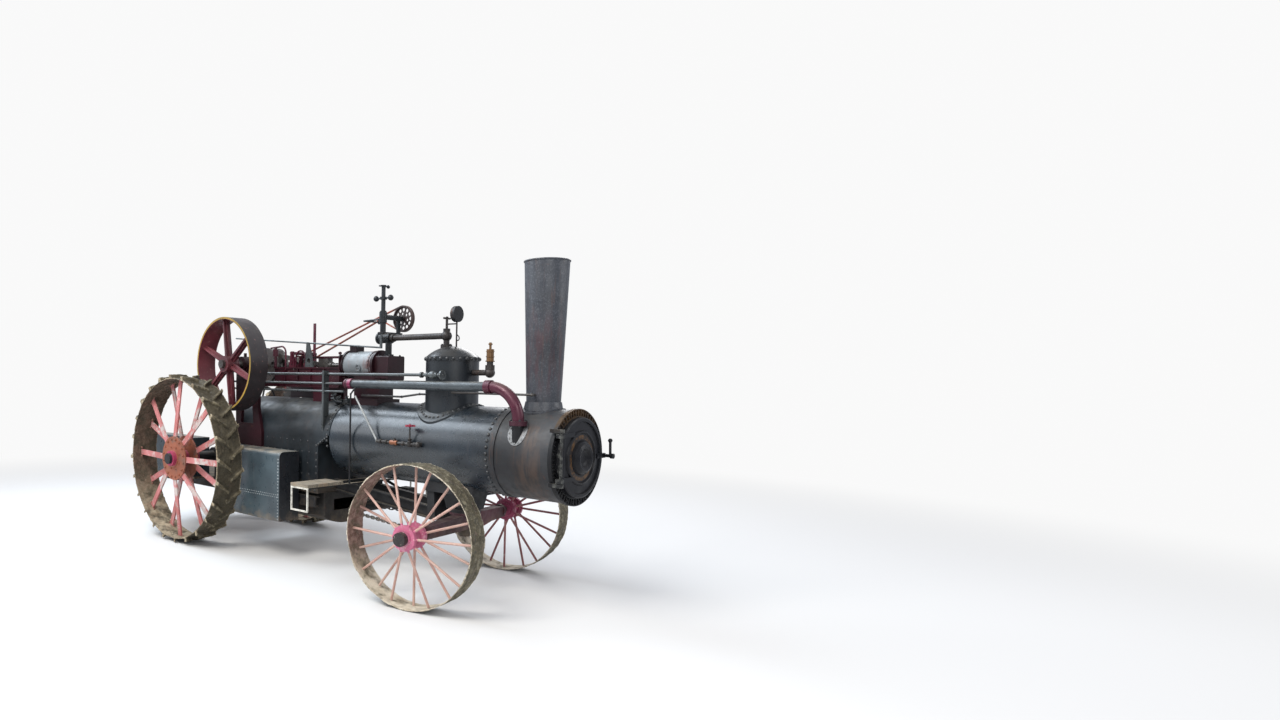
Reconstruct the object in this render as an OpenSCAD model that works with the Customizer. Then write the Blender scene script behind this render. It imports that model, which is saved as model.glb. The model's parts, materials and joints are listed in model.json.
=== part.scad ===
/* [Rear wheels] */
// Radius of the rear rim over its plate
rear_rim_r = 838; // [700:1:1000]
// Height of the lugs above the rim plate
lug_h = 40; // [15:1:50]
// Width of the rear wheels
rear_wheel_w = 300; // [250:1:500]
// Distance from the centre line to a rear wheel's outer face
rear_half_track = 980; // [980:1:1200]
// Lugs in each of the two rows of a rear wheel
lug_count = 24; // [16:1:32]
// Spokes on each side of a rear hub
rear_spokes = 8; // [6:1:12]
// Width of a flat rear spoke
rear_spoke_w = 58; // [40:1:80]
// Radius of the rear hub plates
rear_plate_r = 228; // [180:1:300]
// Radius of the rear axle
rear_axle_r = 55; // [40:1:70]

/* [Front wheels] */
// Radius of the front wheels
front_rim_r = 553; // [450:1:600]
// Width of the front wheels
front_wheel_w = 215; // [150:1:260]
// Distance from the kingpin to a front wheel's outer face
front_half_track = 930; // [880:1:1050]
// Spokes on each side of a front hub
front_spokes = 10; // [6:1:12]
// Radius of a round front spoke
front_spoke_r = 10; // [7:0.5:14]
// Radius of the front hub flanges
front_flange_r = 98; // [80:1:120]
// Radius of the front stub axles
front_axle_r = 32; // [25:1:40]
// Distance between the front and rear axles
wheelbase = 3080; // [2900:1:3300]
// Angle to which the front axle is turned as it stands
steer_rest = 10; // [-10:1:20]
// Thickness of the rim plates
rim_t = 12; // [8:1:20]

/* [Boiler] */
// Height of the boiler's axis
boiler_z = 1175; // [1150:1:1250]
// Radius of the barrel
barrel_r = 350; // [320:1:380]
// Thickness of the smokebox and firebox shells
shell_t = 12; // [8:1:20]
// Rear face of the firebox
firebox_x0 = 300; // [250:1:350]
// Front face of the firebox's lower part
firebox_x1 = 1600; // [1500:1:1650]
// Bottom of the firebox
firebox_z0 = 640; // [600:1:680]
// Joint between barrel and smokebox
smokebox_x0 = 3561; // [3500:1:3620]
// Front end of the smokebox shell
smokebox_x1 = 4085; // [4040:1:4200]
// Radius of the opening behind the smokebox door
door_hole_r = 270; // [220:1:290]

/* [Chimney and dome] */
// Place of the chimney along the boiler
chimney_x = 3812; // [3750:1:3850]
// Top of the chimney
chimney_top_z = 2655; // [2400:1:2900]
// Outer radius of the chimney at its foot
chimney_foot_r = 130; // [110:1:150]
// Outer radius of the chimney at its top
chimney_top_r = 170; // [150:1:200]
// Wall of the chimney
chimney_t = 8; // [5:1:15]
// Place of the steam dome along the boiler
dome_x = 2912; // [2850:1:2950]
// Radius of the steam dome
dome_r = 225; // [200:1:240]
// Top of the dome's straight wall
dome_shoulder_z = 1930; // [1880:1:1980]
// Height of the dome's crown above its wall
dome_crown_h = 92; // [60:1:110]

/* [Engine] */
// Height of the cylinder's axis and of the crankshaft
engine_z = 1865; // [1850:1:1900]
// Place of the crankshaft
crank_x = 424; // [400:1:450]
// Throw of the crank
crank_throw = 130; // [100:1:140]
// Length of the connecting rod between its pins
rod_length = 800; // [760:1:840]
// Angle of the crank as it stands
crank_angle = 55; // [30:1:80]
// Radius of the crank discs
crank_disc_r = 185; // [180:1:190]
// Radius of the crankshaft
crankshaft_r = 42; // [35:1:45]
// Radius of the flywheel
flywheel_r = 481; // [450:1:500]
// Width of the flywheel's face
flywheel_w = 215; // [180:1:220]
// Distance from the centre line to the flywheel's outer face
flywheel_half = 640; // [640:1:650]
// Rear end of the cylinder
cylinder_x0 = 1655; // [1640:1:1670]
// Radius of the cylinder's jacket
jacket_r = 130; // [120:1:140]
// Length of the cylinder's jacket
jacket_l = 370; // [350:1:390]
// Length of the steam chest in front of the cylinder
chest_l = 180; // [150:1:200]
// Half the width of that chest
chest_half = 100; // [80:1:120]

/* [Gears] */
// Gear module, the pitch diameter for each tooth
gear_module = 14; // [14:1:14]
// Teeth of the large gear on the left rear wheel
master_teeth = 66; // [66:1:66]
// Teeth of the pinion that drives it
pinion_teeth = 18; // [18:1:18]
// Teeth of the crankshaft's pinion
crank_teeth = 16; // [16:1:16]

/* [Tanks and platform] */
// Outer face of the side tank from the centre line
tank_half = 640; // [600:1:650]
// Front end of the side tank
tank_x1 = 1376; // [1300:1:1450]
// Top of the side tank
tank_z1 = 1030; // [950:1:1060]
// Bottom of the side tank
tank_z0 = 370; // [330:1:420]
// Height of the platform's floor
floor_z = 610; // [600:1:640]
// Rear end of the platform
floor_x0 = -1180; // [-1300:1:-1100]
// Radius of the drawbar's pin hole
drawbar_hole_r = 20; // [14:1:24]

/* [Hidden] */
$fn = 72;

clearance = 0.3;      // gap between pieces that seat on each other
running = 0.06;       // radial clearance of a shaft in its bearing
rear_axle_z = rear_rim_r + lug_h;
rear_face_in = rear_half_track - rear_wheel_w;
boiler_top_z = boiler_z + barrel_r;
wrapper_r = barrel_r + 6;
drawbar_end = floor_x0 - 240;
door_face_x = smokebox_x1 + 30;
handle_reach = 110;
x_mid = (door_face_x + handle_reach + drawbar_end) / 2;

module in_frame() translate([-x_mid, 0, 0]) children();

// A cylinder along X, from x0 to x1
module rod_x(x0, x1, r, y = 0, z = 0) translate([x0, y, z]) rotate([0, 90, 0]) cylinder(r = r, h = x1 - x0);
// A cylinder along Y, from y0 to y1
module rod_y(y0, y1, r, x = 0, z = 0) translate([x, y0, z]) rotate([-90, 0, 0]) cylinder(r = r, h = y1 - y0);
// A cylinder along Z, from z0 to z1
module rod_z(z0, z1, r, x = 0, y = 0) translate([x, y, z0]) cylinder(r = r, h = z1 - z0);
// A box between two corners
module box(a, b) translate(a) cube(b - a);
// An outline drawn in X and Z, as thick as y0 to y1
module plate_xz(y0, y1) translate([0, y1, 0]) rotate([90, 0, 0]) linear_extrude(height = y1 - y0) children();
// An outline drawn in Y and Z, from x0 to x1
module plate_yz(x0, x1) translate([x0, 0, 0]) rotate([90, 0, 90]) linear_extrude(height = x1 - x0) children();
// A rectangle with round corners, from corner a to corner b
module rounded(a, b, r) {
  translate([a[0], a[1] + r]) square([b[0] - a[0], b[1] - a[1] - 2 * r]);
  translate([a[0] + r, a[1]]) square([b[0] - a[0] - 2 * r, b[1] - a[1]]);
  for (y = [a[0] + r, b[0] - r], z = [a[1] + r, b[1] - r]) translate([y, z]) circle(r = r);
}
// A round bar between two points
module bar(a, b, r) {
  d = b - a;
  l = norm(d);
  translate(a) rotate([0, acos(d[2] / l), atan2(d[1], d[0])]) cylinder(r = r, h = l);
}

// Boiler
module boiler_barrel() color("#2b2f33") {
  tube_r = 24;
  tube_pitch = 66;
  difference() {
    rod_x(firebox_x1 + 150, smokebox_x0, barrel_r, 0, boiler_z);
    // mouths of the fire tubes in the front tube plate
    for (row = [-3:3], col = [-3:3])
      let (y = tube_pitch * (col + (row % 2 == 0 ? 0 : 0.5)), z = tube_pitch * 0.87 * row)
        if (norm([y, z]) < barrel_r - 90)
          rod_x(smokebox_x0 - 30, smokebox_x0 + 1, tube_r, y, boiler_z + z);
  }
}

firebox_lap_x = firebox_x1 + 150 - clearance;
firebox_wall = 95;
fire_hole_r = 150;
fire_eye_z = 70;
fire_pin_r = 8;
fire_hinge_y = 205;
fire_door_x = firebox_x0 - 14 - clearance;
fire_hole_z = 1130;
module firebox_outline() {
  translate([0, boiler_z]) circle(r = wrapper_r);
  translate([-wrapper_r, firebox_z0]) square([2 * wrapper_r, boiler_z - firebox_z0]);
}
module firebox_shell() color("#2e3236") {
  seam_x = firebox_x0 + firebox_wall;
  // wrapper, open below, that laps the barrel's end
  difference() {
    intersection() {
      plate_yz(seam_x + clearance, firebox_lap_x) firebox_outline();
      plate_xz(-wrapper_r - 1, wrapper_r + 1) polygon([
        [firebox_x0, firebox_z0], [firebox_x1, firebox_z0], [firebox_x1, boiler_z - 60],
        [firebox_lap_x, boiler_z + 30], [firebox_lap_x, boiler_top_z + 20], [firebox_x0, boiler_top_z + 20]]);
    }
    box([seam_x - 1, -wrapper_r + firebox_wall, firebox_z0 - 1],
        [firebox_x1 - firebox_wall, wrapper_r - firebox_wall, boiler_z + 180]);
    rod_x(firebox_lap_x - 40, firebox_lap_x + 1, barrel_r - 60, 0, boiler_z);
  }
  // backhead with the fire hole and the ring around it
  difference() {
    union() {
      plate_yz(firebox_x0, seam_x) firebox_outline();
      rod_x(firebox_x0 - 14, firebox_x0 + 1, fire_hole_r + 26, 0, fire_hole_z);
    }
    rod_x(firebox_x0 - 15, seam_x + 1, fire_hole_r, 0, fire_hole_z);
  }
  // hinge lugs and pins of the fire door
  for (s = [-1, 1]) {
    z = fire_hole_z + s * fire_eye_z - 15;
    box([fire_door_x - 29, fire_hinge_y - 12, z - 22], [firebox_x0 + 1, fire_hinge_y + 12, z - clearance]);
    rod_z(z - 10, z + 38, fire_pin_r, fire_door_x - 17, fire_hinge_y);
  }
}

pan_z0 = 330;
pan_half = 270;
pan_t = 8;
module pan_outline(inset) {
  intersection() {
    translate([0, pan_z0 + 500 + inset]) circle(r = 500);
    translate([-pan_half + inset, pan_z0]) square([2 * (pan_half - inset), firebox_z0 - pan_z0 - clearance]);
  }
  translate([-pan_half + inset, pan_z0 + 110]) square([2 * (pan_half - inset), firebox_z0 - pan_z0 - 110 - clearance]);
}
module ash_pan() color("#3a332c") difference() {
  plate_yz(firebox_x0 + 140, firebox_x1 + 10) pan_outline(0);
  plate_yz(firebox_x0 + 140 + pan_t, firebox_x1 + 10 - pan_t) union() {
    pan_outline(pan_t);
    translate([-pan_half + pan_t, firebox_z0 - 20]) square([2 * (pan_half - pan_t), 30]);
  }
  // damper opening in the front
  box([firebox_x1 - 20, -150, pan_z0 + 130], [firebox_x1 + 20, 150, pan_z0 + 240]);
}

module smokebox_shell() color("#34363a") difference() {
  union() {
    rod_x(smokebox_x0 + clearance, smokebox_x1, barrel_r + 2, 0, boiler_z);
    rod_x(smokebox_x0 + clearance, smokebox_x0 + 50, barrel_r + 9, 0, boiler_z);
  }
  rod_x(smokebox_x0 - 1, smokebox_x1 + 1, barrel_r + 2 - shell_t, 0, boiler_z);
  rod_z(boiler_z, boiler_top_z + 60, chimney_foot_r - chimney_t, chimney_x);
}

hinge_x = door_face_x + 62;
hinge_y = -(barrel_r - 20);
hinge_pin_r = 11;
knuckle_r = 21;
// bottom and height of the two fixed hinge lugs
hinge_lugs = [[boiler_z - 193, 26], [boiler_z + 197, 26]];
// bottom and height of the door's straps beside them
hinge_straps = [[boiler_z - 163, 32], [boiler_z + 160, 32]];
ring_r = barrel_r + 13;
ring_ribs = 60;
door_r = door_hole_r + 30;
module smokebox_ring() color("#1d1e20") {
  difference() {
    union() {
      rod_x(smokebox_x1, door_face_x - 12, ring_r, 0, boiler_z);
      rod_x(door_face_x - 12, door_face_x, door_hole_r + 40, 0, boiler_z);
      // raised edge and the radial ribs behind the door
      difference() {
        rod_x(door_face_x - 13, door_face_x, ring_r, 0, boiler_z);
        rod_x(door_face_x - 14, door_face_x + 1, ring_r - 8, 0, boiler_z);
      }
      translate([door_face_x - 13, 0, boiler_z]) for (k = [0:ring_ribs - 1])
        rotate([360 * k / ring_ribs, 0, 0]) translate([0, -4, door_r]) cube([11, 8, ring_r - 4 - door_r]);
    }
    rod_x(smokebox_x1 - 1, door_face_x + 1, door_hole_r, 0, boiler_z);
  }
  // fixed hinge lugs and the long pin that they hold
  for (lug = hinge_lugs) {
    box([smokebox_x1 + 2, hinge_y - 14, lug[0]], [hinge_x, hinge_y + 14, lug[0] + lug[1]]);
    rod_z(lug[0], lug[0] + lug[1], knuckle_r, hinge_x, hinge_y);
  }
  rod_z(hinge_lugs[0][0] + 1, hinge_lugs[1][0] + 1, hinge_pin_r, hinge_x, hinge_y);
}

module smokebox_door() color("#1b1d20") {
  // dished door with a raised ring and a bowl in the middle
  translate([door_face_x + 1, 0, boiler_z]) rotate([0, 90, 0]) rotate_extrude() polygon([
    [0, 4], [door_r, 0], [door_r, 30], [door_r - 10, 36], [door_r - 30, 36], [door_r - 34, 24], [206, 26],
    [198, 38], [186, 40], [180, 30], [132, 32], [124, 50], [108, 66], [92, 72], [74, 68], [58, 52], [40, 44], [0, 42]]);
  // straps that reach the hinge, each with its knuckle
  for (strap = hinge_straps) {
    z1 = strap[0] + strap[1];
    difference() {
      union() {
        box([door_face_x + 20, hinge_y + 34, strap[0]], [door_face_x + 44, -120, z1]);
        box([door_face_x + 24, hinge_y - 10, strap[0]], [door_face_x + 60, hinge_y + 36, z1]);
        rod_z(strap[0], z1, knuckle_r, hinge_x, hinge_y);
      }
      rod_z(strap[0] - 1, z1 + 1, hinge_pin_r + running, hinge_x, hinge_y);
    }
  }
  // upright that ties the straps
  rod_z(hinge_straps[0][0] + 4, hinge_straps[1][0] + 28, 11, door_face_x + 38, hinge_y + 62);
  // latch on the far side with its handle
  box([door_face_x + 12, 230, boiler_z - 18], [door_face_x + 34, latch_y + 18, boiler_z + 18]);
  rod_x(door_face_x + 30, door_face_x + handle_reach - 16, 13, latch_y, boiler_z);
  bar([door_face_x + handle_reach - 28, latch_y, boiler_z], [door_face_x + 70, latch_y + 16, boiler_z + 116], 10);
  translate([door_face_x + 70, latch_y + 16, boiler_z + 116]) sphere(r = 17);
  rod_x(door_face_x + handle_reach - 24, door_face_x + handle_reach, 20, latch_y, boiler_z);
}
latch_y = door_r + 36;

module fire_door() color("#26221f") {
  difference() {
    union() {
      rod_x(fire_door_x - 18, fire_door_x, fire_hole_r + 20, 0, fire_hole_z);
      for (s = [-1, 1]) box([fire_door_x - 26, -60, fire_hole_z + s * fire_eye_z - 15],
                            [fire_door_x - 8, fire_hinge_y, fire_hole_z + s * fire_eye_z + 15]);
      for (s = [-1, 1]) rod_z(fire_hole_z + s * fire_eye_z - 15, fire_hole_z + s * fire_eye_z + 15, 16, fire_door_x - 17, fire_hinge_y);
    }
    rod_z(fire_hole_z - 100, fire_hole_z + 100, fire_pin_r + running, fire_door_x - 17, fire_hinge_y);
  }
  rod_x(fire_door_x - 60, fire_door_x - 17, 9, -120, fire_hole_z);
}

// Chimney and dome
chimney_foot_z = boiler_top_z + 55;
module boiler_cut(extra) translate([firebox_x1, 0, boiler_z]) rotate([0, 90, 0])
  cylinder(r = barrel_r + extra, h = smokebox_x1 - firebox_x1, $fn = 240);
chimney_bead_r = 7;
// Outer radius of the chimney at a height
function chimney_at(z) = chimney_foot_r + (chimney_top_r - chimney_foot_r) * (z - chimney_foot_z) / (chimney_top_z - chimney_foot_z);
module chimney() color("#33353a") difference() {
  union() {
    translate([chimney_x, 0, 0]) rotate_extrude() polygon([
      [chimney_foot_r - chimney_t, boiler_z + 200], [chimney_foot_r + 20, boiler_z + 200],
      [chimney_foot_r + 20, boiler_top_z - 12], [chimney_foot_r + 7, chimney_foot_z],
      [chimney_foot_r, chimney_foot_z], [chimney_top_r, chimney_top_z],
      [chimney_top_r - chimney_t, chimney_top_z], [chimney_foot_r - chimney_t, chimney_foot_z]]);
    // rolled bead around the top
    translate([chimney_x, 0, chimney_top_z - chimney_bead_r]) rotate_extrude()
      translate([chimney_top_r - 1, 0]) circle(r = chimney_bead_r);
    // saddle flange bent to the smokebox
    intersection() {
      rod_z(boiler_z, boiler_top_z + 20, chimney_foot_r + 38, chimney_x);
      rod_x(chimney_x - 200, chimney_x + 200, barrel_r + 11, 0, boiler_z);
    }
  }
  boiler_cut(2 + clearance);
  rod_z(boiler_z, boiler_top_z + 20, chimney_foot_r - chimney_t, chimney_x);
}

crown_r = (dome_r * dome_r + dome_crown_h * dome_crown_h) / (2 * dome_crown_h);
module steam_dome() color("#24282b") difference() {
  union() {
    rod_z(boiler_z + 200, dome_shoulder_z, dome_r, dome_x);
    rod_z(dome_shoulder_z - 34, dome_shoulder_z, dome_r + 7, dome_x);
    // domed crown, an arc of a sphere
    intersection() {
      translate([dome_x, 0, dome_shoulder_z + dome_crown_h - crown_r]) sphere(r = crown_r);
      rod_z(dome_shoulder_z - 1, dome_shoulder_z + dome_crown_h + 10, dome_r, dome_x);
    }
    // riveted saddle flange around its foot
    intersection() {
      rod_x(dome_x - 400, dome_x + 400, barrel_r + 11, 0, boiler_z);
      rod_z(boiler_z, dome_shoulder_z, dome_r + 66, dome_x);
    }
  }
  boiler_cut(clearance);
}

dome_top_z = dome_shoulder_z + dome_crown_h;
front_x0 = cylinder_x0 + 25 + jacket_l;
chest_x0 = front_x0 + 30;
chest_x1 = chest_x0 + chest_l;
chest_z0 = engine_z - 132;
chest_z1 = engine_z + 82;
steam_pipe_z = max(chest_z1 + 165, dome_top_z + 90);
governor_x = chest_x0 + 3;
valve_x1 = governor_x + 112;
safety_x = dome_x + 390;
safety_z = 1800;
module dome_fittings() {
  x = dome_x - 70;
  gauge_x = dome_x + 38;
  color("#3b3532") difference() {
    union() {
      rod_z(dome_top_z - 30, steam_pipe_z - 30, 26, x);
      rod_z(dome_top_z - 30, dome_top_z + 14, 50, x);
      rod_z(dome_top_z - 10, steam_pipe_z + 120, 7, gauge_x);
    }
    translate([dome_x, 0, dome_top_z - crown_r]) sphere(r = crown_r + clearance, $fn = 240);
  }
  color("#3b3532") {
    // stop valve in the ball, with its spindle and hand bar
    translate([x, 0, steam_pipe_z]) sphere(r = 46);
    rod_z(steam_pipe_z + 30, steam_pipe_z + 62, 30, x);
    rod_z(steam_pipe_z + 62, steam_pipe_z + 165, 11, x);
    rod_y(-42, 42, 9, x, steam_pipe_z + 150);
    // pressure gauge that faces the driver
    rod_x(gauge_x - 16, gauge_x + 18, 68, 0, steam_pipe_z + 181);
    rod_x(x + 5, gauge_x, 6, 0, steam_pipe_z + 100);
  }
  // pipe to the governor
  color("#4a4440") {
    rod_x(valve_x1 + clearance, x - 40, 27, 0, steam_pipe_z);
    rod_x(valve_x1 + clearance, valve_x1 + 36, 36, 0, steam_pipe_z);
  }
  // safety valve on its elbow from the dome's side
  color("#7a5a36") {
    difference() {
      rod_x(dome_x + 100, safety_x, 24, 0, safety_z);
      rod_z(safety_z - 100, safety_z + 100, dome_r + clearance, dome_x);
    }
    translate([safety_x, 0, safety_z]) sphere(r = 42);
    rod_z(safety_z + 20, safety_z + 62, 38, safety_x);
    rod_z(safety_z + 62, safety_z + 90, 26, safety_x);
    rod_z(safety_z + 90, safety_z + 190, 30, safety_x);
    rod_z(safety_z + 190, safety_z + 246, 10, safety_x);
  }
}

pulley_y = 280;
pulley_z = steam_pipe_z + 198;
pulley_r = 120;
pulley_holes = 12;
belt_w = 36;
belt_t = 5;
belt_gap = 0.8;
crank_pulley_r = 52;
idler_rest_x = 1775;
idler_rest_r = 12;
// Slope of the belt's upper side, and the place where its lower side is lifted against it
belt_lean = atan2(pulley_z - engine_z, governor_x - crank_x)
          + asin((pulley_r - crank_pulley_r) / norm([governor_x - crank_x, pulley_z - engine_z]));
belt_top_z = pulley_z + (pulley_r + belt_gap) / cos(belt_lean) - (governor_x - idler_rest_x) * tan(belt_lean);
lift = [idler_rest_x + idler_rest_r * sin(belt_lean), belt_top_z - idler_rest_r * cos(belt_lean)];
// The roller hangs below the lifted place, clear of both sides of the belt
roller_wheel_r = 20;
// Outward normal of the belt's lower side between circles at a and b
function belt_normal(a, ra, b, rb) = let (d = norm(b - a), u = (b - a) / d, t = (ra - rb) / d)
  sqrt(1 - t * t) * [u[1], -u[0]] + t * u;
crank_side = belt_normal([crank_x, engine_z], crank_pulley_r + belt_gap, lift, idler_rest_r);
governor_side = belt_normal(lift, idler_rest_r, [governor_x, pulley_z], pulley_r + belt_gap);
roller_drop = (idler_rest_r + belt_t + roller_wheel_r + 1) / (1 + crank_side * governor_side);
roller = lift + roller_drop * (crank_side + governor_side);
stop_valve_r = 50;
module governor() color("#202427") {
  flange_z = steam_pipe_z + 58;
  // stop valve between the steam pipe and the chest
  rod_x(governor_x - 38, valve_x1, 46, 0, steam_pipe_z);
  rod_x(governor_x - 46, governor_x - 30, 54, 0, steam_pipe_z);
  rod_x(valve_x1 - 16, valve_x1, stop_valve_r, 0, steam_pipe_z);
  rod_z(chest_z1 + clearance, steam_pipe_z, 30, governor_x + 76);
  rod_z(chest_z1 + clearance, chest_z1 + 16, 48, governor_x + 76);
  // frame that carries the column and the pulley's bearing
  rod_z(steam_pipe_z + 30, flange_z, 36, governor_x);
  box([governor_x - 34, -34, flange_z - 14], [governor_x + 34, pulley_y - 50, flange_z]);
  rod_z(flange_z - 1, pulley_z - 52, 27, governor_x);
  rod_z(pulley_z - 52, pulley_z + 44, 36, governor_x);
  rod_z(pulley_z + 44, pulley_z + 56, 30, governor_x);
  rod_z(pulley_z + 55, pulley_z + 175, 20, governor_x);
  rod_z(pulley_z + 160, pulley_z + 184, 34, governor_x);
  rod_z(pulley_z + 184, pulley_z + 282, 19, governor_x);
  rod_z(pulley_z + 281, pulley_z + 292, 26, governor_x);
  box([governor_x - 12, -52, pulley_z + 276], [governor_x + 12, 60, pulley_z + 286]);
  translate([governor_x, 62, pulley_z + 281]) sphere(r = 17);
  // flyballs on their arms
  for (s = [-1, 1]) {
    rod_x(min(0, s * 80) + governor_x, max(0, s * 80) + governor_x, 8, 0, pulley_z + 172);
    translate([governor_x + s * 92, 0, pulley_z + 172]) sphere(r = 27);
  }
  // bearing of the pulley's spindle, with its foot on the frame
  rod_y(20, pulley_y - 26, 24, governor_x, pulley_z);
  rod_y(pulley_y - 27, pulley_y + 30, 10, governor_x, pulley_z);
  box([governor_x - 9, pulley_y - 92, flange_z - 1], [governor_x + 9, pulley_y - 50, pulley_z - 10]);
  // arm of the roller that rests on the belt
  bar([governor_x - 20, 0, pulley_z - 20], [roller[0], 60, roller[1]], 9);
  rod_y(52, pulley_y + belt_w / 2 + 6, 8, roller[0], roller[1]);
  rod_y(pulley_y - belt_w / 2 - 4, pulley_y + belt_w / 2 + 4, roller_wheel_r, roller[0], roller[1]);
}

module governor_pulley() color("#4a3230") difference() {
  union() {
    difference() {
      rod_y(pulley_y - belt_w / 2 - 3, pulley_y + belt_w / 2 + 3, pulley_r, governor_x, pulley_z);
      rod_y(pulley_y - belt_w / 2 - 4, pulley_y + belt_w / 2 + 4, pulley_r - 9, governor_x, pulley_z);
    }
    rod_y(pulley_y - 24, pulley_y + 24, 22, governor_x, pulley_z);
    // web with two rings of holes
    difference() {
      rod_y(pulley_y - 5, pulley_y + 5, pulley_r - 8, governor_x, pulley_z);
      translate([governor_x, 0, pulley_z]) for (k = [0:pulley_holes - 1]) {
        rotate([0, 360 * k / pulley_holes, 0]) rod_y(pulley_y - 6, pulley_y + 6, 17, pulley_r - 33, 0);
        if (k % 2 == 0) rotate([0, 360 * (k + 0.5) / pulley_holes, 0])
          rod_y(pulley_y - 6, pulley_y + 6, 12, pulley_r - 70, 0);
      }
    }
  }
  rod_y(pulley_y - 25, pulley_y + 25, 10 + running, governor_x, pulley_z);
}

module belt_outline(grow) for (wheel = [[crank_x, engine_z, crank_pulley_r], [governor_x, pulley_z, pulley_r]]) hull() {
  translate([wheel[0], wheel[1]]) circle(r = wheel[2] + belt_gap + grow, $fn = 64);
  translate(lift) circle(r = idler_rest_r + grow, $fn = 32);
}
module governor_belt() color("#8a4a30") plate_xz(pulley_y - belt_w / 2, pulley_y + belt_w / 2) difference() {
  belt_outline(belt_t);
  belt_outline(0);
}

// Engine
valve_y = jacket_r + 32;
saddle_x = [firebox_lap_x + 25, chest_x1 - 90];
stuffing_l = 50;
module cylinder_block() color("#3d0f16") {
  difference() {
    union() {
      rod_x(cylinder_x0, cylinder_x0 + 25, jacket_r + 12, 0, engine_z);
      rod_x(cylinder_x0 + 24, front_x0 + 1, jacket_r - 14, 0, engine_z);
      rod_x(front_x0, chest_x0, jacket_r + 8, 0, engine_z);
      // steam chest at the front, with its cover
      plate_yz(chest_x0 - 1, chest_x1 - 20) rounded([-chest_half, chest_z0], [chest_half, chest_z1], 12);
      plate_yz(chest_x1 - 20, chest_x1) rounded([-chest_half - 9, chest_z0 - 9], [chest_half + 9, chest_z1 - 1], 16);
      // stuffing box of the piston rod
      rod_x(cylinder_x0 - stuffing_l, cylinder_x0 + 1, 46, 0, engine_z);
      // valve chest on the far side, with its cover
      box([cylinder_x0 + 60, 90, engine_z - 80], [front_x0 - 30, valve_y + 42, engine_z + 80]);
      box([cylinder_x0 + 48, valve_y + 41, engine_z - 92], [front_x0 - 18, valve_y + 60, engine_z + 92]);
      // saddle casting that stands on the boiler
      box([saddle_x[0] + 30, -92, boiler_top_z - 60], [saddle_x[1] - 30, 92, engine_z - 60]);
      box([saddle_x[0], -150, boiler_top_z - 80], [saddle_x[1], 150, boiler_top_z + 26]);
    }
    boiler_cut(clearance);
    rod_x(cylinder_x0 - stuffing_l - 1, cylinder_x0 + 60, piston_rod_r + running, 0, engine_z);
    rod_x(cylinder_x0 + 47, cylinder_x0 + 92, stem_r + running, valve_y, engine_z);
  }
  // lubricator on the cylinder
  difference() {
    box([cylinder_x0 + 45, -54, engine_z + jacket_r - 30], [cylinder_x0 + 130, 54, engine_z + jacket_r + 52]);
    rod_x(cylinder_x0, front_x0, jacket_r - 15, 0, engine_z);
  }
  rod_z(engine_z + jacket_r + 51, engine_z + jacket_r + 60, 30, cylinder_x0 + 88);
}

plug_x = 1895;
plug_tilt = 11;
module cylinder_jacket() {
  lagging();
  // round union on the near side, with a cross bar in its mouth
  color("#6b3a2a") translate([plug_x, 0, engine_z]) rotate([90 + plug_tilt, 0, 0]) {
    difference() {
      translate([0, 0, jacket_r - 8]) cylinder(r = 33, h = 22);
      translate([0, 0, jacket_r + 4]) cylinder(r = 23, h = 11);
    }
    translate([-24, -6, jacket_r + 3]) cube([48, 12, 9]);
  }
}
module lagging() color("#9aa4a6") difference() {
  rod_x(cylinder_x0 + 25 + clearance, front_x0 - clearance, jacket_r, 0, engine_z);
  rod_x(cylinder_x0 + 24, front_x0 + 1, jacket_r - 14 + clearance, 0, engine_z);
  // gaps where the saddle, the valve chest and the lubricator leave the casting
  box([saddle_x[0] + 30 - clearance, -92 - clearance, engine_z - 200],
      [front_x0 + 10, 92 + clearance, engine_z - 50]);
  box([cylinder_x0 + 48 - clearance, 60, engine_z - 94 - clearance],
      [front_x0 - 18 + clearance, 220, engine_z + 94 + clearance]);
  box([cylinder_x0 + 45 - clearance, -54 - clearance, engine_z + 60],
      [cylinder_x0 + 130 + clearance, 54 + clearance, engine_z + 200]);
}

piston_rod_r = 22;
stem_r = 12;
rail_z0 = boiler_top_z + 118;
rail_z1 = engine_z - 22;
rail_y = 118;
rail_w = 14;
rail_flange = 44;
rail_seat = rail_z1 + clearance;
tie_z1 = rail_z0 + 0.25 * (rail_z1 - rail_z0);
beam_x = 640;
tie_x = 1120;
bed_foot_x = [1260, 1480];
guide_x0 = 990;
guide_gap = 68;
guide_t = 20;
module girder(s) {
  y = s * (rail_y + rail_w / 2);
  box([beam_x, y - rail_w / 2, rail_z0], [cylinder_x0 - 12, y + rail_w / 2, rail_z1]);
  for (z = [rail_z0, rail_z1 - 14]) box([beam_x, y - rail_flange / 2, z], [cylinder_x0 - 12, y + rail_flange / 2, z + 14]);
  // stiffeners
  for (x = [820:200:1420]) box([x, y - rail_flange / 2 + 2, rail_z0 + 1], [x + 12, y + rail_flange / 2 - 2, rail_z1 - 1]);
}
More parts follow.
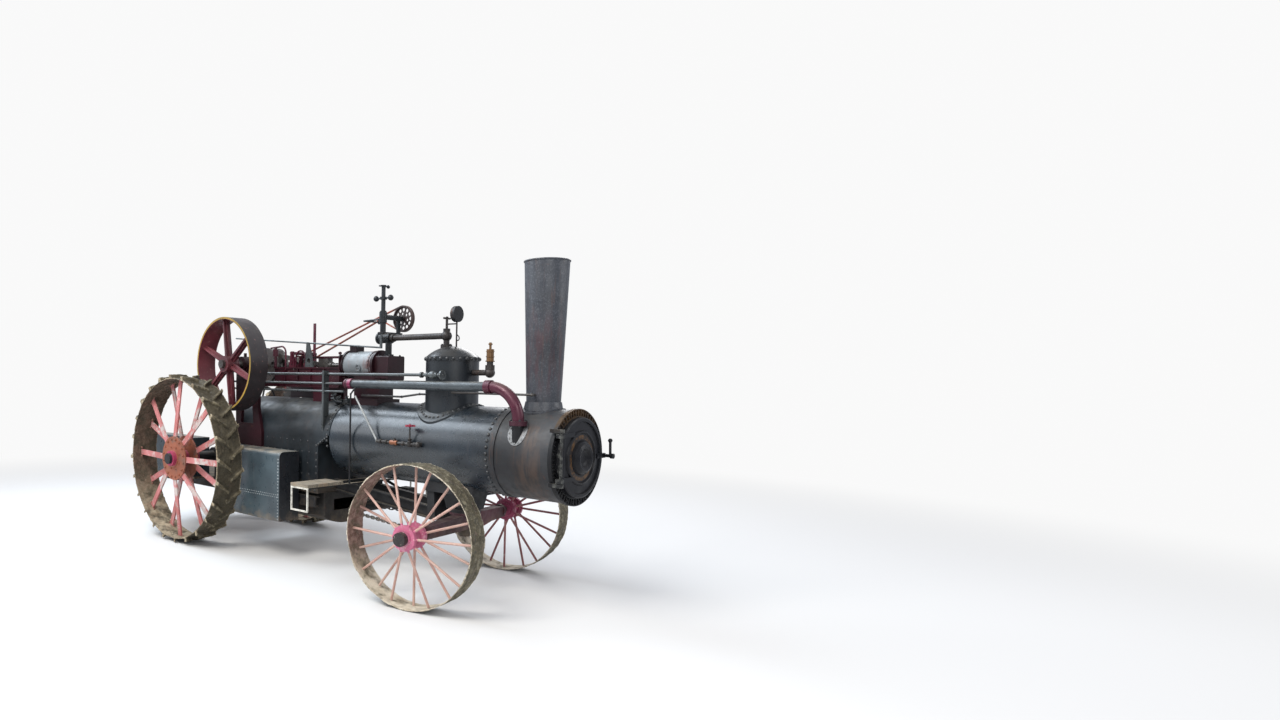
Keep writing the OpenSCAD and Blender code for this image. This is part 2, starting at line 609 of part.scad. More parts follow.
module engine_bed() color("#4d121c") {
  for (s = [-1, 1]) girder(s);
  // cross beam on the bearing brackets, drilled for the rod that passes it
  difference() {
    box([beam_x, -wrapper_r, rail_z0], [beam_x + 70, wrapper_r, tie_z1]);
    rod_x(beam_x - 1, beam_x + 71, rods[1][3] + 3, rods[1][1], rods[1][2]);
  }
  box([tie_x, -rail_y, rail_z0], [tie_x + 40, rail_y, tie_z1]);
  // saddle on the boiler's top
  difference() {
    box([bed_foot_x[0], -rail_y - rail_w, boiler_top_z - 60], [bed_foot_x[1], rail_y + rail_w, rail_z0 + 14]);
    rod_x(bed_foot_x[0] - 10, bed_foot_x[1] + 10, wrapper_r + clearance, 0, boiler_z);
    box([bed_foot_x[0] - 10, -80, boiler_top_z], [bed_foot_x[1] + 10, 80, rail_z0 - 30]);
  }
  // guide bars of the crosshead, on their end brackets
  for (z = [engine_z - guide_gap - guide_t, engine_z + guide_gap])
    box([guide_x0, -38, z], [cylinder_x0 - 12, 38, z + guide_t]);
  box([guide_x0 - 26, -rail_y - 1, engine_z - guide_gap - guide_t], [guide_x0, rail_y + 1, engine_z - guide_gap]);
  for (s = [-1, 1]) box([guide_x0 - 26, s * 60 - 14, engine_z - guide_gap - 10],
                        [guide_x0 + 10, s * 60 + 14, engine_z + guide_gap + guide_t]);
  box([guide_x0 - 26, -74, engine_z + guide_gap], [guide_x0 + 10, 74, engine_z + guide_gap + guide_t + 8]);
  // oil cups on the upper guide
  for (x = [guide_x0 + 90, cylinder_x0 - 150]) {
    rod_z(engine_z + guide_gap + guide_t - 1, engine_z + guide_gap + guide_t + 44, 8, x);
    rod_z(engine_z + guide_gap + guide_t + 20, engine_z + guide_gap + guide_t + 40, 17, x);
  }
  // end plate that the cylinder is bolted to
  difference() {
    plate_yz(cylinder_x0 - 14, cylinder_x0 - clearance)
      rounded([-rail_y - rail_w - 15, rail_z0], [rail_y + rail_w + 15, engine_z + guide_gap + 30], 20);
    rod_x(cylinder_x0 - 60, cylinder_x0 + 10, 46 + clearance, 0, engine_z);
    rod_x(cylinder_x0 - 60, cylinder_x0 + 10, stem_r + 8, valve_y, engine_z);
  }
}

pin_x = crank_x + crank_throw * cos(crank_angle);
pin_z = engine_z + crank_throw * sin(crank_angle);
crosshead_x = pin_x + sqrt(rod_length * rod_length - pow(crank_throw * sin(crank_angle), 2));
module crosshead() color("#57504b") {
  difference() {
    union() {
      box([crosshead_x - 70, -34, engine_z - guide_gap + clearance], [crosshead_x + 70, 34, engine_z + guide_gap - clearance]);
      rod_x(crosshead_x + 70, crosshead_x + 110, 32, 0, engine_z);
    }
    box([crosshead_x - 80, -22, engine_z - 40], [crosshead_x + 36, 22, engine_z + 40]);
    rod_y(-40, 40, 18, crosshead_x, engine_z);
  }
  rod_x(crosshead_x + 109, cylinder_x0 + 58, piston_rod_r, 0, engine_z);
}

crank_gap = 48;
module connecting_rod() color("#6b5f58") {
  rod_angle = asin((pin_z - engine_z) / rod_length);
  translate([crosshead_x, 0, engine_z]) rotate([0, rod_angle, 0]) {
    // tapered shank, drawn from the crosshead's pin to the crank's
    plate_xz(-16, 16) polygon([[-20, -17], [-rod_length + 60, -27], [-rod_length + 60, 27], [-20, 17]]);
    rod_y(-21, 21, 34);
    rod_y(-34, 34, 52, -rod_length);
    box([-rod_length - 30, -34, -62], [-rod_length + 62, 34, 62]);
    rod_y(-39, 39, 18 - clearance);
    // crank pin, carried in the big end
    rod_y(-crank_gap + 6, crank_gap - 6, 30, -rod_length);
  }
}

ecc_y = crank_gap + 80;
ecc_throw = 22;
ecc_r = 92;
rocker_x = 1050;
shaft_z = engine_z + 120;
stand_x = 925;
post_top_z = 2305;
arc_r = 80;
module valve_gear() color("#5a1a22") {
  // eccentric strap, open around the shaft
  difference() {
    rod_y(ecc_y - 18, ecc_y + 18, ecc_r, crank_x + ecc_throw, engine_z);
    rod_y(ecc_y - 19, ecc_y + 19, crankshaft_r + 8, crank_x, engine_z);
  }
  // eccentric rod, rocker and valve stem
  box([crank_x + ecc_r + 8, ecc_y - 9, engine_z - 15], [rocker_x, ecc_y + 9, engine_z + 15]);
  rod_y(ecc_y - 9, valve_y + stem_r, 17, rocker_x, engine_z);
  rod_x(rocker_x, cylinder_x0 + 90, stem_r, valve_y, engine_z);
  rod_z(rail_seat, engine_z - 6, 12, rocker_x, ecc_y);
  // reversing shaft on its two stands, with its arms
  rod_y(-150, 190, 16, stand_x, shaft_z);
  box([stand_x - 12, 176, engine_z + 20], [stand_x + 12, 190, shaft_z + 10]);
  box([stand_x - 12, -150, engine_z + 10], [stand_x + 12, -138, shaft_z + 10]);
  for (y = [[-138, -120], [ecc_y + 16, ecc_y + 32]]) plate_xz(y[0], y[1]) polygon([
    [stand_x - 45, rail_seat], [stand_x + 45, rail_seat], [stand_x + 18, shaft_z + 20], [stand_x - 18, shaft_z + 20]]);
  // tall lever beside the far stand
  box([stand_x + 4, ecc_y + 18, shaft_z], [stand_x + 36, ecc_y + 30, post_top_z]);
  // arched bracket on the near girder
  difference() {
    union() {
      rod_y(-131, -118, arc_r, rocker_x, shaft_z - 50);
      box([rocker_x - arc_r, -131, rail_seat], [rocker_x + arc_r, -118, shaft_z - 50]);
    }
    rod_y(-132, -117, arc_r - 13, rocker_x, shaft_z - 50);
    box([rocker_x - arc_r + 13, -132, rail_z1 - 1], [rocker_x + arc_r - 13, -117, shaft_z - 50]);
  }
  // bent oil pipe from its cup over the cross beam
  pipe_y = -(rail_y + 20);
  color("#5b2a22") {
    bar([beam_x - 60, pipe_y, shaft_z + 58], [beam_x + 120, pipe_y, shaft_z + 72], 9);
    translate([beam_x + 120, pipe_y, shaft_z + 2]) rotate([90, 0, 0]) rotate_extrude(angle = 90)
      translate([70, 0]) circle(r = 9);
    rod_z(rail_seat, shaft_z + 3, 9, beam_x + 190, pipe_y);
    rod_z(rail_seat, shaft_z + 62, 14, beam_x + 20, pipe_y);
    rod_z(shaft_z - 30, shaft_z + 40, 30, beam_x + 20, pipe_y);
  }
}

bearing_half = [308, 412];
bracket_x = [firebox_x0 + 10, crank_x + 276, crank_x + 336];
bracket_z0 = boiler_z - 175;
window_x = [crank_x - 24, crank_x + 196];
window_z = [boiler_z + 85, boiler_z + 345];
module bearing_bracket(s) {
  y0 = min(s * (wrapper_r + clearance), s * (wrapper_r + 34));
  y1 = max(s * (wrapper_r + clearance), s * (wrapper_r + 34));
  difference() {
    union() {
      plate_xz(y0, y1) polygon([
        [bracket_x[0], bracket_z0], [bracket_x[2], bracket_z0], [bracket_x[2], bracket_z0 + 180],
        [bracket_x[1], bracket_z0 + 420], [bracket_x[1], engine_z - 95], [crank_x + 110, engine_z - 30],
        [crank_x - 110, engine_z - 30], [bracket_x[0], engine_z - 165]]);
      rod_y(min(s * bearing_half[0], s * bearing_half[1]), max(s * bearing_half[0], s * bearing_half[1]), 84,
            crank_x, engine_z);
      box([crank_x - 100, min(s * bearing_half[0], s * 400), engine_z - 76],
          [crank_x + 100, max(s * bearing_half[0], s * 400), engine_z - 30]);
      rod_z(engine_z + 70, engine_z + 120, 16, crank_x, s * 356);
    }
    rod_y(min(s * 290, s * 420), max(s * 290, s * 420), crankshaft_r + running, crank_x, engine_z);
    plate_xz(y0 - 1, y1 + 1) polygon([
      [window_x[0], window_z[0]], [window_x[1], window_z[0]], [window_x[1] - 30, window_z[1]], [window_x[0] + 30, window_z[1]]]);
  }
}
module bearing_brackets() color("#3a1018") {
  for (s = [-1, 1]) bearing_bracket(s);
  // boss of the intermediate gear's stub shaft
  rod_y(wrapper_r + clearance, idler_y - 10, 70, idler_x, idler_z);
  rod_y(idler_y - 10, master_y + 62, idler_shaft_r, idler_x, idler_z);
}

// Gears
master_r = gear_module * master_teeth / 2;
pinion_r = gear_module * pinion_teeth / 2;
crank_gear_r = gear_module * crank_teeth / 2;
idler_y = 500;
master_y = 600;
gear_w = 56;
idler_shaft_r = 36;
span = norm([crank_x, engine_z - rear_axle_z]);
// Teeth that the intermediate gear needs to reach the crankshaft with some bend in the train
idler_teeth = ceil(2 * (span + 42) / gear_module) - master_teeth - pinion_teeth - crank_teeth;
idler_r = gear_module * idler_teeth / 2;
from_axle = master_r + pinion_r;
from_crank = idler_r + crank_gear_r;
along = (from_axle * from_axle - from_crank * from_crank + span * span) / (2 * span);
off_line = sqrt(from_axle * from_axle - along * along);
idler_x = (crank_x * along + (engine_z - rear_axle_z) * off_line) / span;
idler_z = rear_axle_z + ((engine_z - rear_axle_z) * along - crank_x * off_line) / span;

// Point of an involute on a base circle at unrolled angle t
function involute(rb, t) = rb * [cos(t) + t * PI / 180 * sin(t), sin(t) - t * PI / 180 * cos(t)];
function turned(p, a) = [p[0] * cos(a) - p[1] * sin(a), p[0] * sin(a) + p[1] * cos(a)];
// Outline of an involute gear with its first tooth on the X axis
function gear_points(teeth, backlash) =
  let (rp = gear_module * teeth / 2,
       rb = rp * cos(20),
       ra = rp + gear_module * 0.94,
       rf = rp - gear_module * 1.2,
       tp = sqrt(pow(rp / rb, 2) - 1) * 180 / PI,
       ta = sqrt(pow(ra / rb, 2) - 1) * 180 / PI,
       lean = tp - atan(tp * PI / 180),
       half = 90 / teeth - backlash / rp * 90 / PI + lean,
       flank = [for (i = [0:4]) turned(involute(rb, ta * i / 4), -half)])
  [for (k = [0:teeth - 1]) each [
     turned([rf, 0], 360 * k / teeth - half),
     for (p = flank) if (norm(p) > rf + 0.5) turned(p, 360 * k / teeth),
     for (i = [4:-1:0]) let (p = [flank[i][0], -flank[i][1]]) if (norm(p) > rf + 0.5) turned(p, 360 * k / teeth),
     turned([rf, 0], 360 * k / teeth + half)]];
module gear(teeth, y0, w, phase) rotate([0, phase, 0]) plate_xz(y0, y0 + w) polygon(gear_points(teeth, 1.6));

// Turn that puts the pinion's gap against the master gear's tooth on the line of centres
line_angle = atan2(idler_z - rear_axle_z, idler_x);
master_phase = -line_angle;
pinion_phase = -(line_angle + 180 + 180 / pinion_teeth);

module crankshaft() color("#4a4644") {
  webs = [[-crank_gap - 34, -crank_gap], [crank_gap, crank_gap + 34]];
  for (w = webs) difference() {
    rod_y(w[0], w[1], crank_disc_r, crank_x, engine_z);
    // crescent that lightens the disc beside the crank pin
    for (a = [-52, 52]) translate([crank_x, 0, engine_z]) rotate([0, -crank_angle + a, 0])
      rod_y(w[0] - 1, w[1] + 1, 34, 118, 0);
  }
  rod_y(crank_gap + 34, 590, crankshaft_r, crank_x, engine_z);
  rod_y(-flywheel_half - 26, -crank_gap - 34, crankshaft_r, crank_x, engine_z);
  rod_y(pulley_y - 22, pulley_y + 22, crank_pulley_r, crank_x, engine_z);
  // sliding pinion, out of gear
  translate([crank_x, 0, engine_z]) gear(crank_teeth, 428, 50, 0);
  rod_y(478, 488, 70, crank_x, engine_z);
}

rim_thickness = 22;
module flywheel() color("#5e1f2a") {
  y0 = -flywheel_half;
  y1 = y0 + flywheel_w;
  hub_y1 = y0 + 150;
  difference() {
    union() {
      difference() {
        rod_y(y0, y1, flywheel_r, crank_x, engine_z);
        rod_y(y0 - 1, y1 + 1, flywheel_r - rim_thickness, crank_x, engine_z);
      }
      rod_y(y0 + 8, hub_y1, 84, crank_x, engine_z);
      translate([crank_x, 0, engine_z]) for (a = [0:60:300]) rotate([0, -a - 38, 0]) {
        plate_xz(y0 + 70, y0 + 96) polygon([[60, -36], [flywheel_r - 12, -24], [flywheel_r - 12, 24], [60, 36]]);
        plate_xz(y0 + 44, y0 + 122) polygon([[60, -14], [flywheel_r - 12, -9], [flywheel_r - 12, 9], [60, 14]]);
      }
    }
    rod_y(y0 - 1, y1 + 1, crankshaft_r + clearance, crank_x, engine_z);
  }
}

module intermediate_gear() color("#3f3a37") translate([idler_x, 0, idler_z]) difference() {
  union() {
    difference() {
      gear(idler_teeth, idler_y, gear_w - 6, 0);
      for (a = [0:60:300]) rotate([0, a, 0]) rod_y(idler_y - 1, idler_y + gear_w, 88, 245, 0);
    }
    gear(pinion_teeth, master_y - 4, gear_w + 4, pinion_phase);
    rod_y(idler_y - 4, master_y + gear_w + 2, 66);
  }
  rod_y(idler_y - 10, master_y + gear_w + 10, idler_shaft_r + running);
}

module master_gear() color("#3f3a37") translate([0, 0, rear_axle_z]) difference() {
  gear(master_teeth, master_y, gear_w, master_phase);
  rod_y(master_y - 1, master_y + gear_w + 1, rear_plate_r - 40);
  for (a = [0:45:315]) rotate([0, a + 22, 0]) rod_y(master_y - 1, master_y + gear_w + 1, 66, 318, 0);
}

// Pipes and rods
exhaust_y = -300;
exhaust_z = rail_z0 + 45;
exhaust_bend = 250;
exhaust_r = 38;
exhaust_x0 = front_x0 - 110;
exhaust_x1 = chimney_x - 272;
drain = [exhaust_x0 + 112, -barrel_r - 20, 790];
module exhaust_pipe() color("#5a6064") {
  // drain that runs down beside the boiler
  color("#26282a") {
    bar([drain[0], exhaust_y, exhaust_z - 20], [drain[0], drain[1], exhaust_z - 90], 8);
    translate([drain[0], drain[1], exhaust_z - 90]) sphere(r = 10);
    rod_z(drain[2], exhaust_z - 90, 8, drain[0], drain[1]);
  }
  // casting that leaves the cylinder
  color("#7a2138") {
    rod_y(exhaust_y, -92 - clearance, exhaust_r - 2, exhaust_x0, exhaust_z);
    translate([exhaust_x0, exhaust_y, exhaust_z]) sphere(r = 50);
    rod_x(exhaust_x0, exhaust_x0 + 70, 48, exhaust_y, exhaust_z);
  }
  rod_x(exhaust_x0 + 69, exhaust_x1 - 50, exhaust_r, exhaust_y, exhaust_z);
  color("#6b2340") {
    rod_x(exhaust_x1 - 50, exhaust_x1 + 5, 52, exhaust_y, exhaust_z);
    translate([exhaust_x1, exhaust_y, exhaust_z - exhaust_bend]) rotate([90, 0, 0])
      rotate_extrude(angle = 90) translate([exhaust_bend, 0]) circle(r = 44);
  }
  difference() {
    union() {
      rod_z(boiler_z + 60, exhaust_z - exhaust_bend, 44, exhaust_x1 + exhaust_bend, exhaust_y);
      rod_z(exhaust_z - exhaust_bend - 34, exhaust_z - exhaust_bend, 66, exhaust_x1 + exhaust_bend, exhaust_y);
    }
    boiler_cut(2 + clearance);
  }
}

throttle_y = -133;
// Ends of the throttle rod
throttle_a = [-60, throttle_y, engine_z + 297];
throttle_b = [valve_x1 - 5, throttle_y, steam_pipe_z - 92];
// Front end, Y, Z and radius of the three rods along the boiler
rods_end = [dome_x + 140, exhaust_x0 - 38, exhaust_x0 - 18];
rods_y = [-300, -330, -335];
rods_down = [90, 177, 250];
rods_r = [13, 11, 10];
rods = [for (k = [0:2]) [rods_end[k], rods_y[k], engine_z - rods_down[k], rods_r[k]]];
rods_x0 = 120;
hanger_x = [1640, 1664];
module side_rods() color("#6d7073") {
  rod_x(720, rods[0][0], rods[0][3], rods[0][1], rods[0][2]);
  for (k = [1, 2]) rod_x(rods_x0, rods[k][0], rods[k][3], rods[k][1], rods[k][2]);
  // throttle rod, its arm at the valve, and its stand on the bed
  bar(throttle_a, throttle_b, 8);
  box([throttle_b[0] - 12, throttle_y - 6, throttle_b[2] - 8], [throttle_b[0] + 12, throttle_y + 8, steam_pipe_z + 20]);
  rod_y(throttle_y, -stop_valve_r - clearance, 9, throttle_b[0], steam_pipe_z);
  color("#5a1626") difference() {
    plate_xz(throttle_y - 9, throttle_y + 9) polygon([
      [rocker_x + arc_r + 12, rail_seat], [1265, rail_seat], [1192, engine_z + 226], [1158, engine_z + 226]]);
    rod_y(throttle_y - 10, throttle_y + 10, 26, 1196, engine_z + 40);
  }
  // valve at the front end of the upper rod, screwed into the dome
  color("#3a3633") {
    for (x = [dome_x - 92, dome_x - 26]) rod_x(x, x + 20, 24, rods[0][1], rods[0][2]);
    translate([dome_x + 40, rods[0][1], rods[0][2]]) rotate([0, 90, 0]) rotate_extrude()
      polygon([[0, -46], [20, -46], [20, -30], [32, -15], [32, 15], [20, 30], [20, 46], [0, 46]]);
    difference() {
      rod_y(rods[0][1], -100, 18, dome_x + 40, rods[0][2]);
      rod_z(rods[0][2] - 40, rods[0][2] + 40, dome_r + clearance, dome_x);
    }
    rod_x(rods[0][0] - 8, rods[0][0] + 8, 40, rods[0][1], rods[0][2]);
  }
  // hanger that holds the three rods off the boiler
  color("#3f4a46") difference() {
    box([hanger_x[0], -352, boiler_z + 60], [hanger_x[1], -285, rods[0][2] + 32]);
    for (rod = rods) rod_x(hanger_x[0] - 10, hanger_x[1] + 10, rod[3] + clearance, rod[1], rod[2]);
    rod_x(hanger_x[0] - 10, hanger_x[1] + 10, wrapper_r + clearance, 0, boiler_z);
  }
}

// Blower pipe along the boiler's top, from the cylinder past the dome to the chimney
blower_y = -172;
blower_r = 9;
blower_x0 = front_x0 - 50;
blower_z = [boiler_top_z + 58, boiler_top_z + 87, boiler_top_z + 108];
module blower_pipe() color("#2a2622") {
  rod_y(blower_y, -92 - clearance, blower_r, blower_x0, blower_z[0]);
  translate([blower_x0, blower_y, blower_z[0]]) sphere(r = blower_r + 3);
  rod_x(blower_x0, dome_x - 420, blower_r, blower_y, blower_z[0]);
  translate([dome_x - 420, blower_y, blower_z[0]]) sphere(r = blower_r + 3);
  bar([dome_x - 420, blower_y, blower_z[0]], [dome_x - 210, blower_y, blower_z[1]], blower_r);
  difference() {
    union() {
      translate([dome_x - 210, blower_y, blower_z[1]]) sphere(r = blower_r + 3);
      rod_x(dome_x - 210, dome_x, blower_r, blower_y, blower_z[1]);
    }
    rod_z(blower_z[1] - 40, blower_z[1] + 40, dome_r + clearance, dome_x);
  }
  // front length, with its elbow into the chimney's foot
  difference() {
    union() {
      rod_x(dome_x, chimney_x + 6, blower_r, blower_y, blower_z[2]);
      translate([chimney_x + 6, blower_y, blower_z[2]]) sphere(r = blower_r + 5);
      rod_y(blower_y, -40, blower_r, chimney_x + 6, blower_z[2]);
    }
    rod_z(blower_z[2] - 40, blower_z[2] + 40, dome_r + clearance, dome_x);
    rod_z(blower_z[2] - 40, blower_z[2] + 40, chimney_at(blower_z[2] + 9) + clearance, chimney_x);
  }
}

feed_z = boiler_z + 23;
feed_x = [2398, 2870];
feed_tap_x = 2779;
feed_unions = [2430, 2500, 2700, 2830];
feed_check = [2560, 2640];
module feed_pipe() color("#b9bcb8") {
  y = -barrel_r - 26;
  blower_pipe();
  bar([2111, y + 6, rods[2][2] - 35], [feed_x[0], y, feed_z], 10);
  translate([feed_x[0], y, feed_z]) sphere(r = 15);
  rod_x(feed_x[0], feed_x[1], 11, y, feed_z);
  for (x = feed_unions) rod_x(x, x + 16, 17, y, feed_z);
  color("#8a5a3a") rod_x(feed_check[0], feed_check[1], 20, y, feed_z);
  color("#8c2433") {
    rod_z(feed_z, feed_z + 152, 7, feed_tap_x, y);
    rod_z(feed_z + 146, feed_z + 160, 38, feed_tap_x, y);
  }
  color("#4c4f50") {
    translate([feed_x[1], y, feed_z]) sphere(r = 26);
    difference() {
      rod_y(y, -300, 20, feed_x[1], feed_z);
      boiler_cut(clearance);
    }
  }
}

// Side tank, frame and platform
tank_in = 400;
module side_tank() color("#3c474d") {
  r = 46;
  plate_yz(firebox_x0 + 30, tank_x1) union() {
    translate([-tank_half, tank_z0]) square([tank_half - tank_in, tank_z1 - tank_z0 - r]);
    translate([-tank_half + r, tank_z0]) square([tank_half - tank_in - r, tank_z1 - tank_z0]);
    translate([-tank_half + r, tank_z1 - r]) circle(r = r);
  }
}

frame_y = [330, 380];
frame_z = [510, floor_z - clearance];
bracket_y = [wrapper_r + clearance, wrapper_r + 32];
drawbar_z = [530, 556];
drawbar_half = 60;
module rear_frame() color("#232527") {
  // two channels, open towards the middle
  for (s = [-1, 1]) difference() {
    box([floor_x0, min(s * frame_y[0], s * frame_y[1]), frame_z[0]],
        [firebox_x1, max(s * frame_y[0], s * frame_y[1]), frame_z[1]]);
    box([floor_x0 - 1, min(s * (frame_y[0] - 1), s * (frame_y[1] - 12)), frame_z[0] + 12],
        [firebox_x1 + 1, max(s * (frame_y[0] - 1), s * (frame_y[1] - 12)), frame_z[1] - 12]);
  }
  // cross members between them
  cross = frame_y[0] - clearance;
  difference() {
    box([floor_x0, -cross, frame_z[0]], [floor_x0 + 12, cross, frame_z[1]]);
    box([floor_x0 - 1, -drawbar_half - clearance, drawbar_z[0] - clearance],
        [floor_x0 + 13, drawbar_half + clearance, drawbar_z[1] + clearance]);
  }
  for (x = [floor_x0 + 12 + clearance, floor_x0 + 200])
    box([x, -cross, frame_z[0]], [x + 54, cross, drawbar_z[0] - clearance]);
  // drawbar with its pin hole
  difference() {
    union() {
      box([drawbar_end + 60, -drawbar_half, drawbar_z[0]], [floor_x0 + 260, drawbar_half, drawbar_z[1]]);
      rod_z(drawbar_z[0], drawbar_z[1], 60, drawbar_end + 60);
    }
    rod_z(drawbar_z[0] - 1, drawbar_z[1] + 1, drawbar_hole_r, drawbar_end + 60);
  }
  // bearers that hold the side tank
  for (x = [firebox_x0 + 120, tank_x1 - 160])
    box([x, -tank_in + clearance, 530], [x + 60, -frame_y[1] - clearance, 590]);
  // brackets and bearings of the rear axle
  for (s = [-1, 1]) difference() {
    union() {
      plate_xz(min(s * bracket_y[0], s * bracket_y[1]), max(s * bracket_y[0], s * bracket_y[1])) polygon([
        [-90, floor_z], [700, floor_z], [700, 900], [420, 990], [90, 1000], [-90, rear_axle_z + 90]]);
      rod_y(min(s * 300, s * 470), max(s * 300, s * 470), rear_axle_r + 37, 0, rear_axle_z);
    }
    rod_y(min(s * 299, s * 471), max(s * 299, s * 471), rear_axle_r + running, 0, rear_axle_z);
  }
  rod_y(-rear_half_track - 50, rear_half_track + 50, rear_axle_r, 0, rear_axle_z);
}

bunker_half = [370, 580];
bunker_x1 = -220;
bunker_z1 = 1060;
platform_x1 = -100;
platform_t = 22;
module platform() color("#3b352e") {
  difference() {
    box([floor_x0, -bunker_half[1], floor_z], [platform_x1, bunker_half[1], floor_z + platform_t]);
    // notches beside the rear axle's brackets
    for (s = [-1, 1]) box([platform_x1 - 100, s * 520 - 120, floor_z - 1], [platform_x1 + 50, s * 520 + 120, floor_z + 30]);
  }
  // low rear board
  box([floor_x0, -bunker_half[0] + 2, floor_z + platform_t - 1], [floor_x0 + 12, bunker_half[0] - 2, floor_z + 170]);
}

module rear_bunkers() color("#3a444a") {
  z0 = floor_z + platform_t + clearance;
  // closed water tank on the right, open coal bunker on the left
  box([floor_x0 + 14, -bunker_half[1], z0], [bunker_x1, -bunker_half[0], bunker_z1]);
  difference() {
    box([floor_x0 + 14, bunker_half[0], z0], [bunker_x1, bunker_half[1], bunker_z1]);
    box([floor_x0 + 20, bunker_half[0] + 6, z0 + 6], [bunker_x1 - 6, bunker_half[1] - 6, bunker_z1 + 1]);
  }
}

// Wheels
module rear_rim() color("#6b5a45") {
  y0 = -rear_wheel_w;
  difference() {
    union() {
      rod_y(y0, 0, rear_rim_r);
      // chevron lugs, two staggered rows of slanted bars
      intersection() {
        rod_y(y0, 0, rear_rim_r + lug_h);
        for (row = [0, 1], k = [0:lug_count - 1])
          rotate([0, 360 * (k + row / 2) / lug_count + 90, 0])
            translate([rear_rim_r - 14, 0, 0]) rotate([0, 90, 0]) linear_extrude(height = lug_h + 20)
              polygon(row == 0
                ? [[-74, y0], [-34, y0], [74, y0 / 2], [34, y0 / 2]]
                : [[34, y0 / 2], [74, y0 / 2], [-34, 0], [-74, 0]]);
      }
    }
    rod_y(y0 - 1, 1, rear_rim_r - rim_t);
  }
}

rear_boss_r = rear_axle_r + 24;
rear_hub_y = [-rear_wheel_w + 40, -rear_wheel_w + 168];
rear_seat_y = [-rear_wheel_w + 112, -rear_wheel_w + 198];
// A spoke set of one hub side, from the hub at y0 to the rim at y1
module flat_spokes(count, r0, r1, y0, y1, phase) for (k = [0:count - 1]) rotate([0, 360 * k / count + phase, 0])
  translate([r0, y0, 0]) rotate([0, 0, atan2(y1 - y0, r1 - r0)])
    translate([0, -8, -rear_spoke_w / 2]) cube([norm([r1 - r0, y1 - y0]) + 20, 16, rear_spoke_w]);
module rear_hub() color("#a5454a") difference() {
  union() {
    intersection() {
      rod_y(-rear_wheel_w - 60, 60, rear_rim_r - rim_t - clearance);
      union() {
        flat_spokes(rear_spokes, 150, rear_rim_r - rim_t, rear_hub_y[0] - 4, rear_seat_y[0], 0);
        flat_spokes(rear_spokes, 150, rear_rim_r - rim_t, rear_hub_y[1] + 4, rear_seat_y[1], 180 / rear_spokes);
      }
    }
    rod_y(rear_hub_y[0] - 14, rear_hub_y[0], rear_plate_r);
    rod_y(rear_hub_y[1], rear_hub_y[1] + 14, rear_plate_r);
    rod_y(-rear_wheel_w - 20, -6, rear_boss_r);
  }
  rod_y(-rear_wheel_w - 61, 61, rear_axle_r + running);
}
module at_rear_wheel(s) translate([0, s * rear_face_in, rear_axle_z]) mirror([0, s > 0 ? 1 : 0, 0]) children();

module front_rim() color("#7d6a50") difference() {
  rod_y(-front_wheel_w, 0, front_rim_r);
  rod_y(-front_wheel_w - 1, 1, front_rim_r - rim_t);
}
front_hub_y = [-front_wheel_w - 30, -front_wheel_w + 150];
front_seat_y = [-front_wheel_w + 80, -front_wheel_w + 135];
front_cap_l = 66;
// outer end of the front axle, inside the caps
front_axle_end = front_half_track - front_wheel_w - front_hub_y[0] + front_cap_l - 20;
module round_spokes(count, r0, r1, y0, y1, phase) for (k = [0:count - 1]) rotate([0, 360 * k / count + phase, 0])
  bar([r0, y0, 0], [r1 + 10, y1, 0], front_spoke_r);
module front_hub() color("#a8465f") difference() {
  union() {
    intersection() {
      rod_y(-front_wheel_w - 80, 80, front_rim_r - rim_t - clearance);
      union() {
        round_spokes(front_spokes, 60, front_rim_r - rim_t, front_hub_y[0] + 16, front_seat_y[0], 0);
        round_spokes(front_spokes, 60, front_rim_r - rim_t, front_hub_y[1] - 16, front_seat_y[1], 180 / front_spokes);
      }
    }
    rod_y(front_hub_y[0], front_hub_y[0] + 32, front_flange_r);
    rod_y(front_hub_y[1] - 32, front_hub_y[1], front_flange_r);
    rod_y(front_hub_y[0] - 16, front_hub_y[1] + 20, front_axle_r + 32);
    // grease cap over the axle's end
    rod_y(front_hub_y[0] - front_cap_l, front_hub_y[0] - 16, front_axle_r + 20);
  }
  rod_y(front_hub_y[0] - front_cap_l + 14, front_hub_y[1] + 21, front_axle_r + running);
}

// Front axle and steering
module steered() translate([wheelbase, 0, 0]) rotate([0, 0, steer_rest]) children();
module at_front_wheel(s) steered() translate([0, s * (front_half_track - front_wheel_w), front_rim_r])
  mirror([0, s > 0 ? 1 : 0, 0]) children();

axle_top_z = front_rim_r + 60;
eye_x = -84;
eye_y = 420;
eye_z = 490;
eye_pin_r = 9;
turntable_z = axle_top_z + 48;
module front_axle() color("#4a1a22") steered() {
  stub_in = front_half_track - front_wheel_w - 30;
  difference() {
    union() {
      plate_yz(-46, 46) polygon([[-stub_in, front_rim_r - 46], [-160, front_rim_r - 62], [160, front_rim_r - 62],
        [stub_in, front_rim_r - 46], [stub_in, front_rim_r + 46], [160, axle_top_z], [-160, axle_top_z],
        [-stub_in, front_rim_r + 46]]);
      rod_z(axle_top_z, axle_top_z + 20, 130);
      for (s = [-1, 1]) rod_y(min(s * stub_in, s * front_axle_end), max(s * stub_in, s * front_axle_end),
                              front_axle_r, 0, front_rim_r);
      for (s = [-1, 1]) rod_y(min(s * stub_in, s * (stub_in - 40)), max(s * stub_in, s * (stub_in - 40)), 60, 0, front_rim_r);
      // eyes of the steering chains
      for (s = [-1, 1]) {
        box([eye_x - 16, s * eye_y - 16, eye_z + 12], [-40, s * eye_y + 16, eye_z + 30]);
        rod_z(eye_z - 30, eye_z + 20, eye_pin_r, eye_x, s * eye_y);
        rod_z(eye_z - 34, eye_z - 12, eye_pin_r + 8, eye_x, s * eye_y);
      }
    }
    rod_z(front_rim_r - 100, axle_top_z + 21, 36 + running);
  }
}

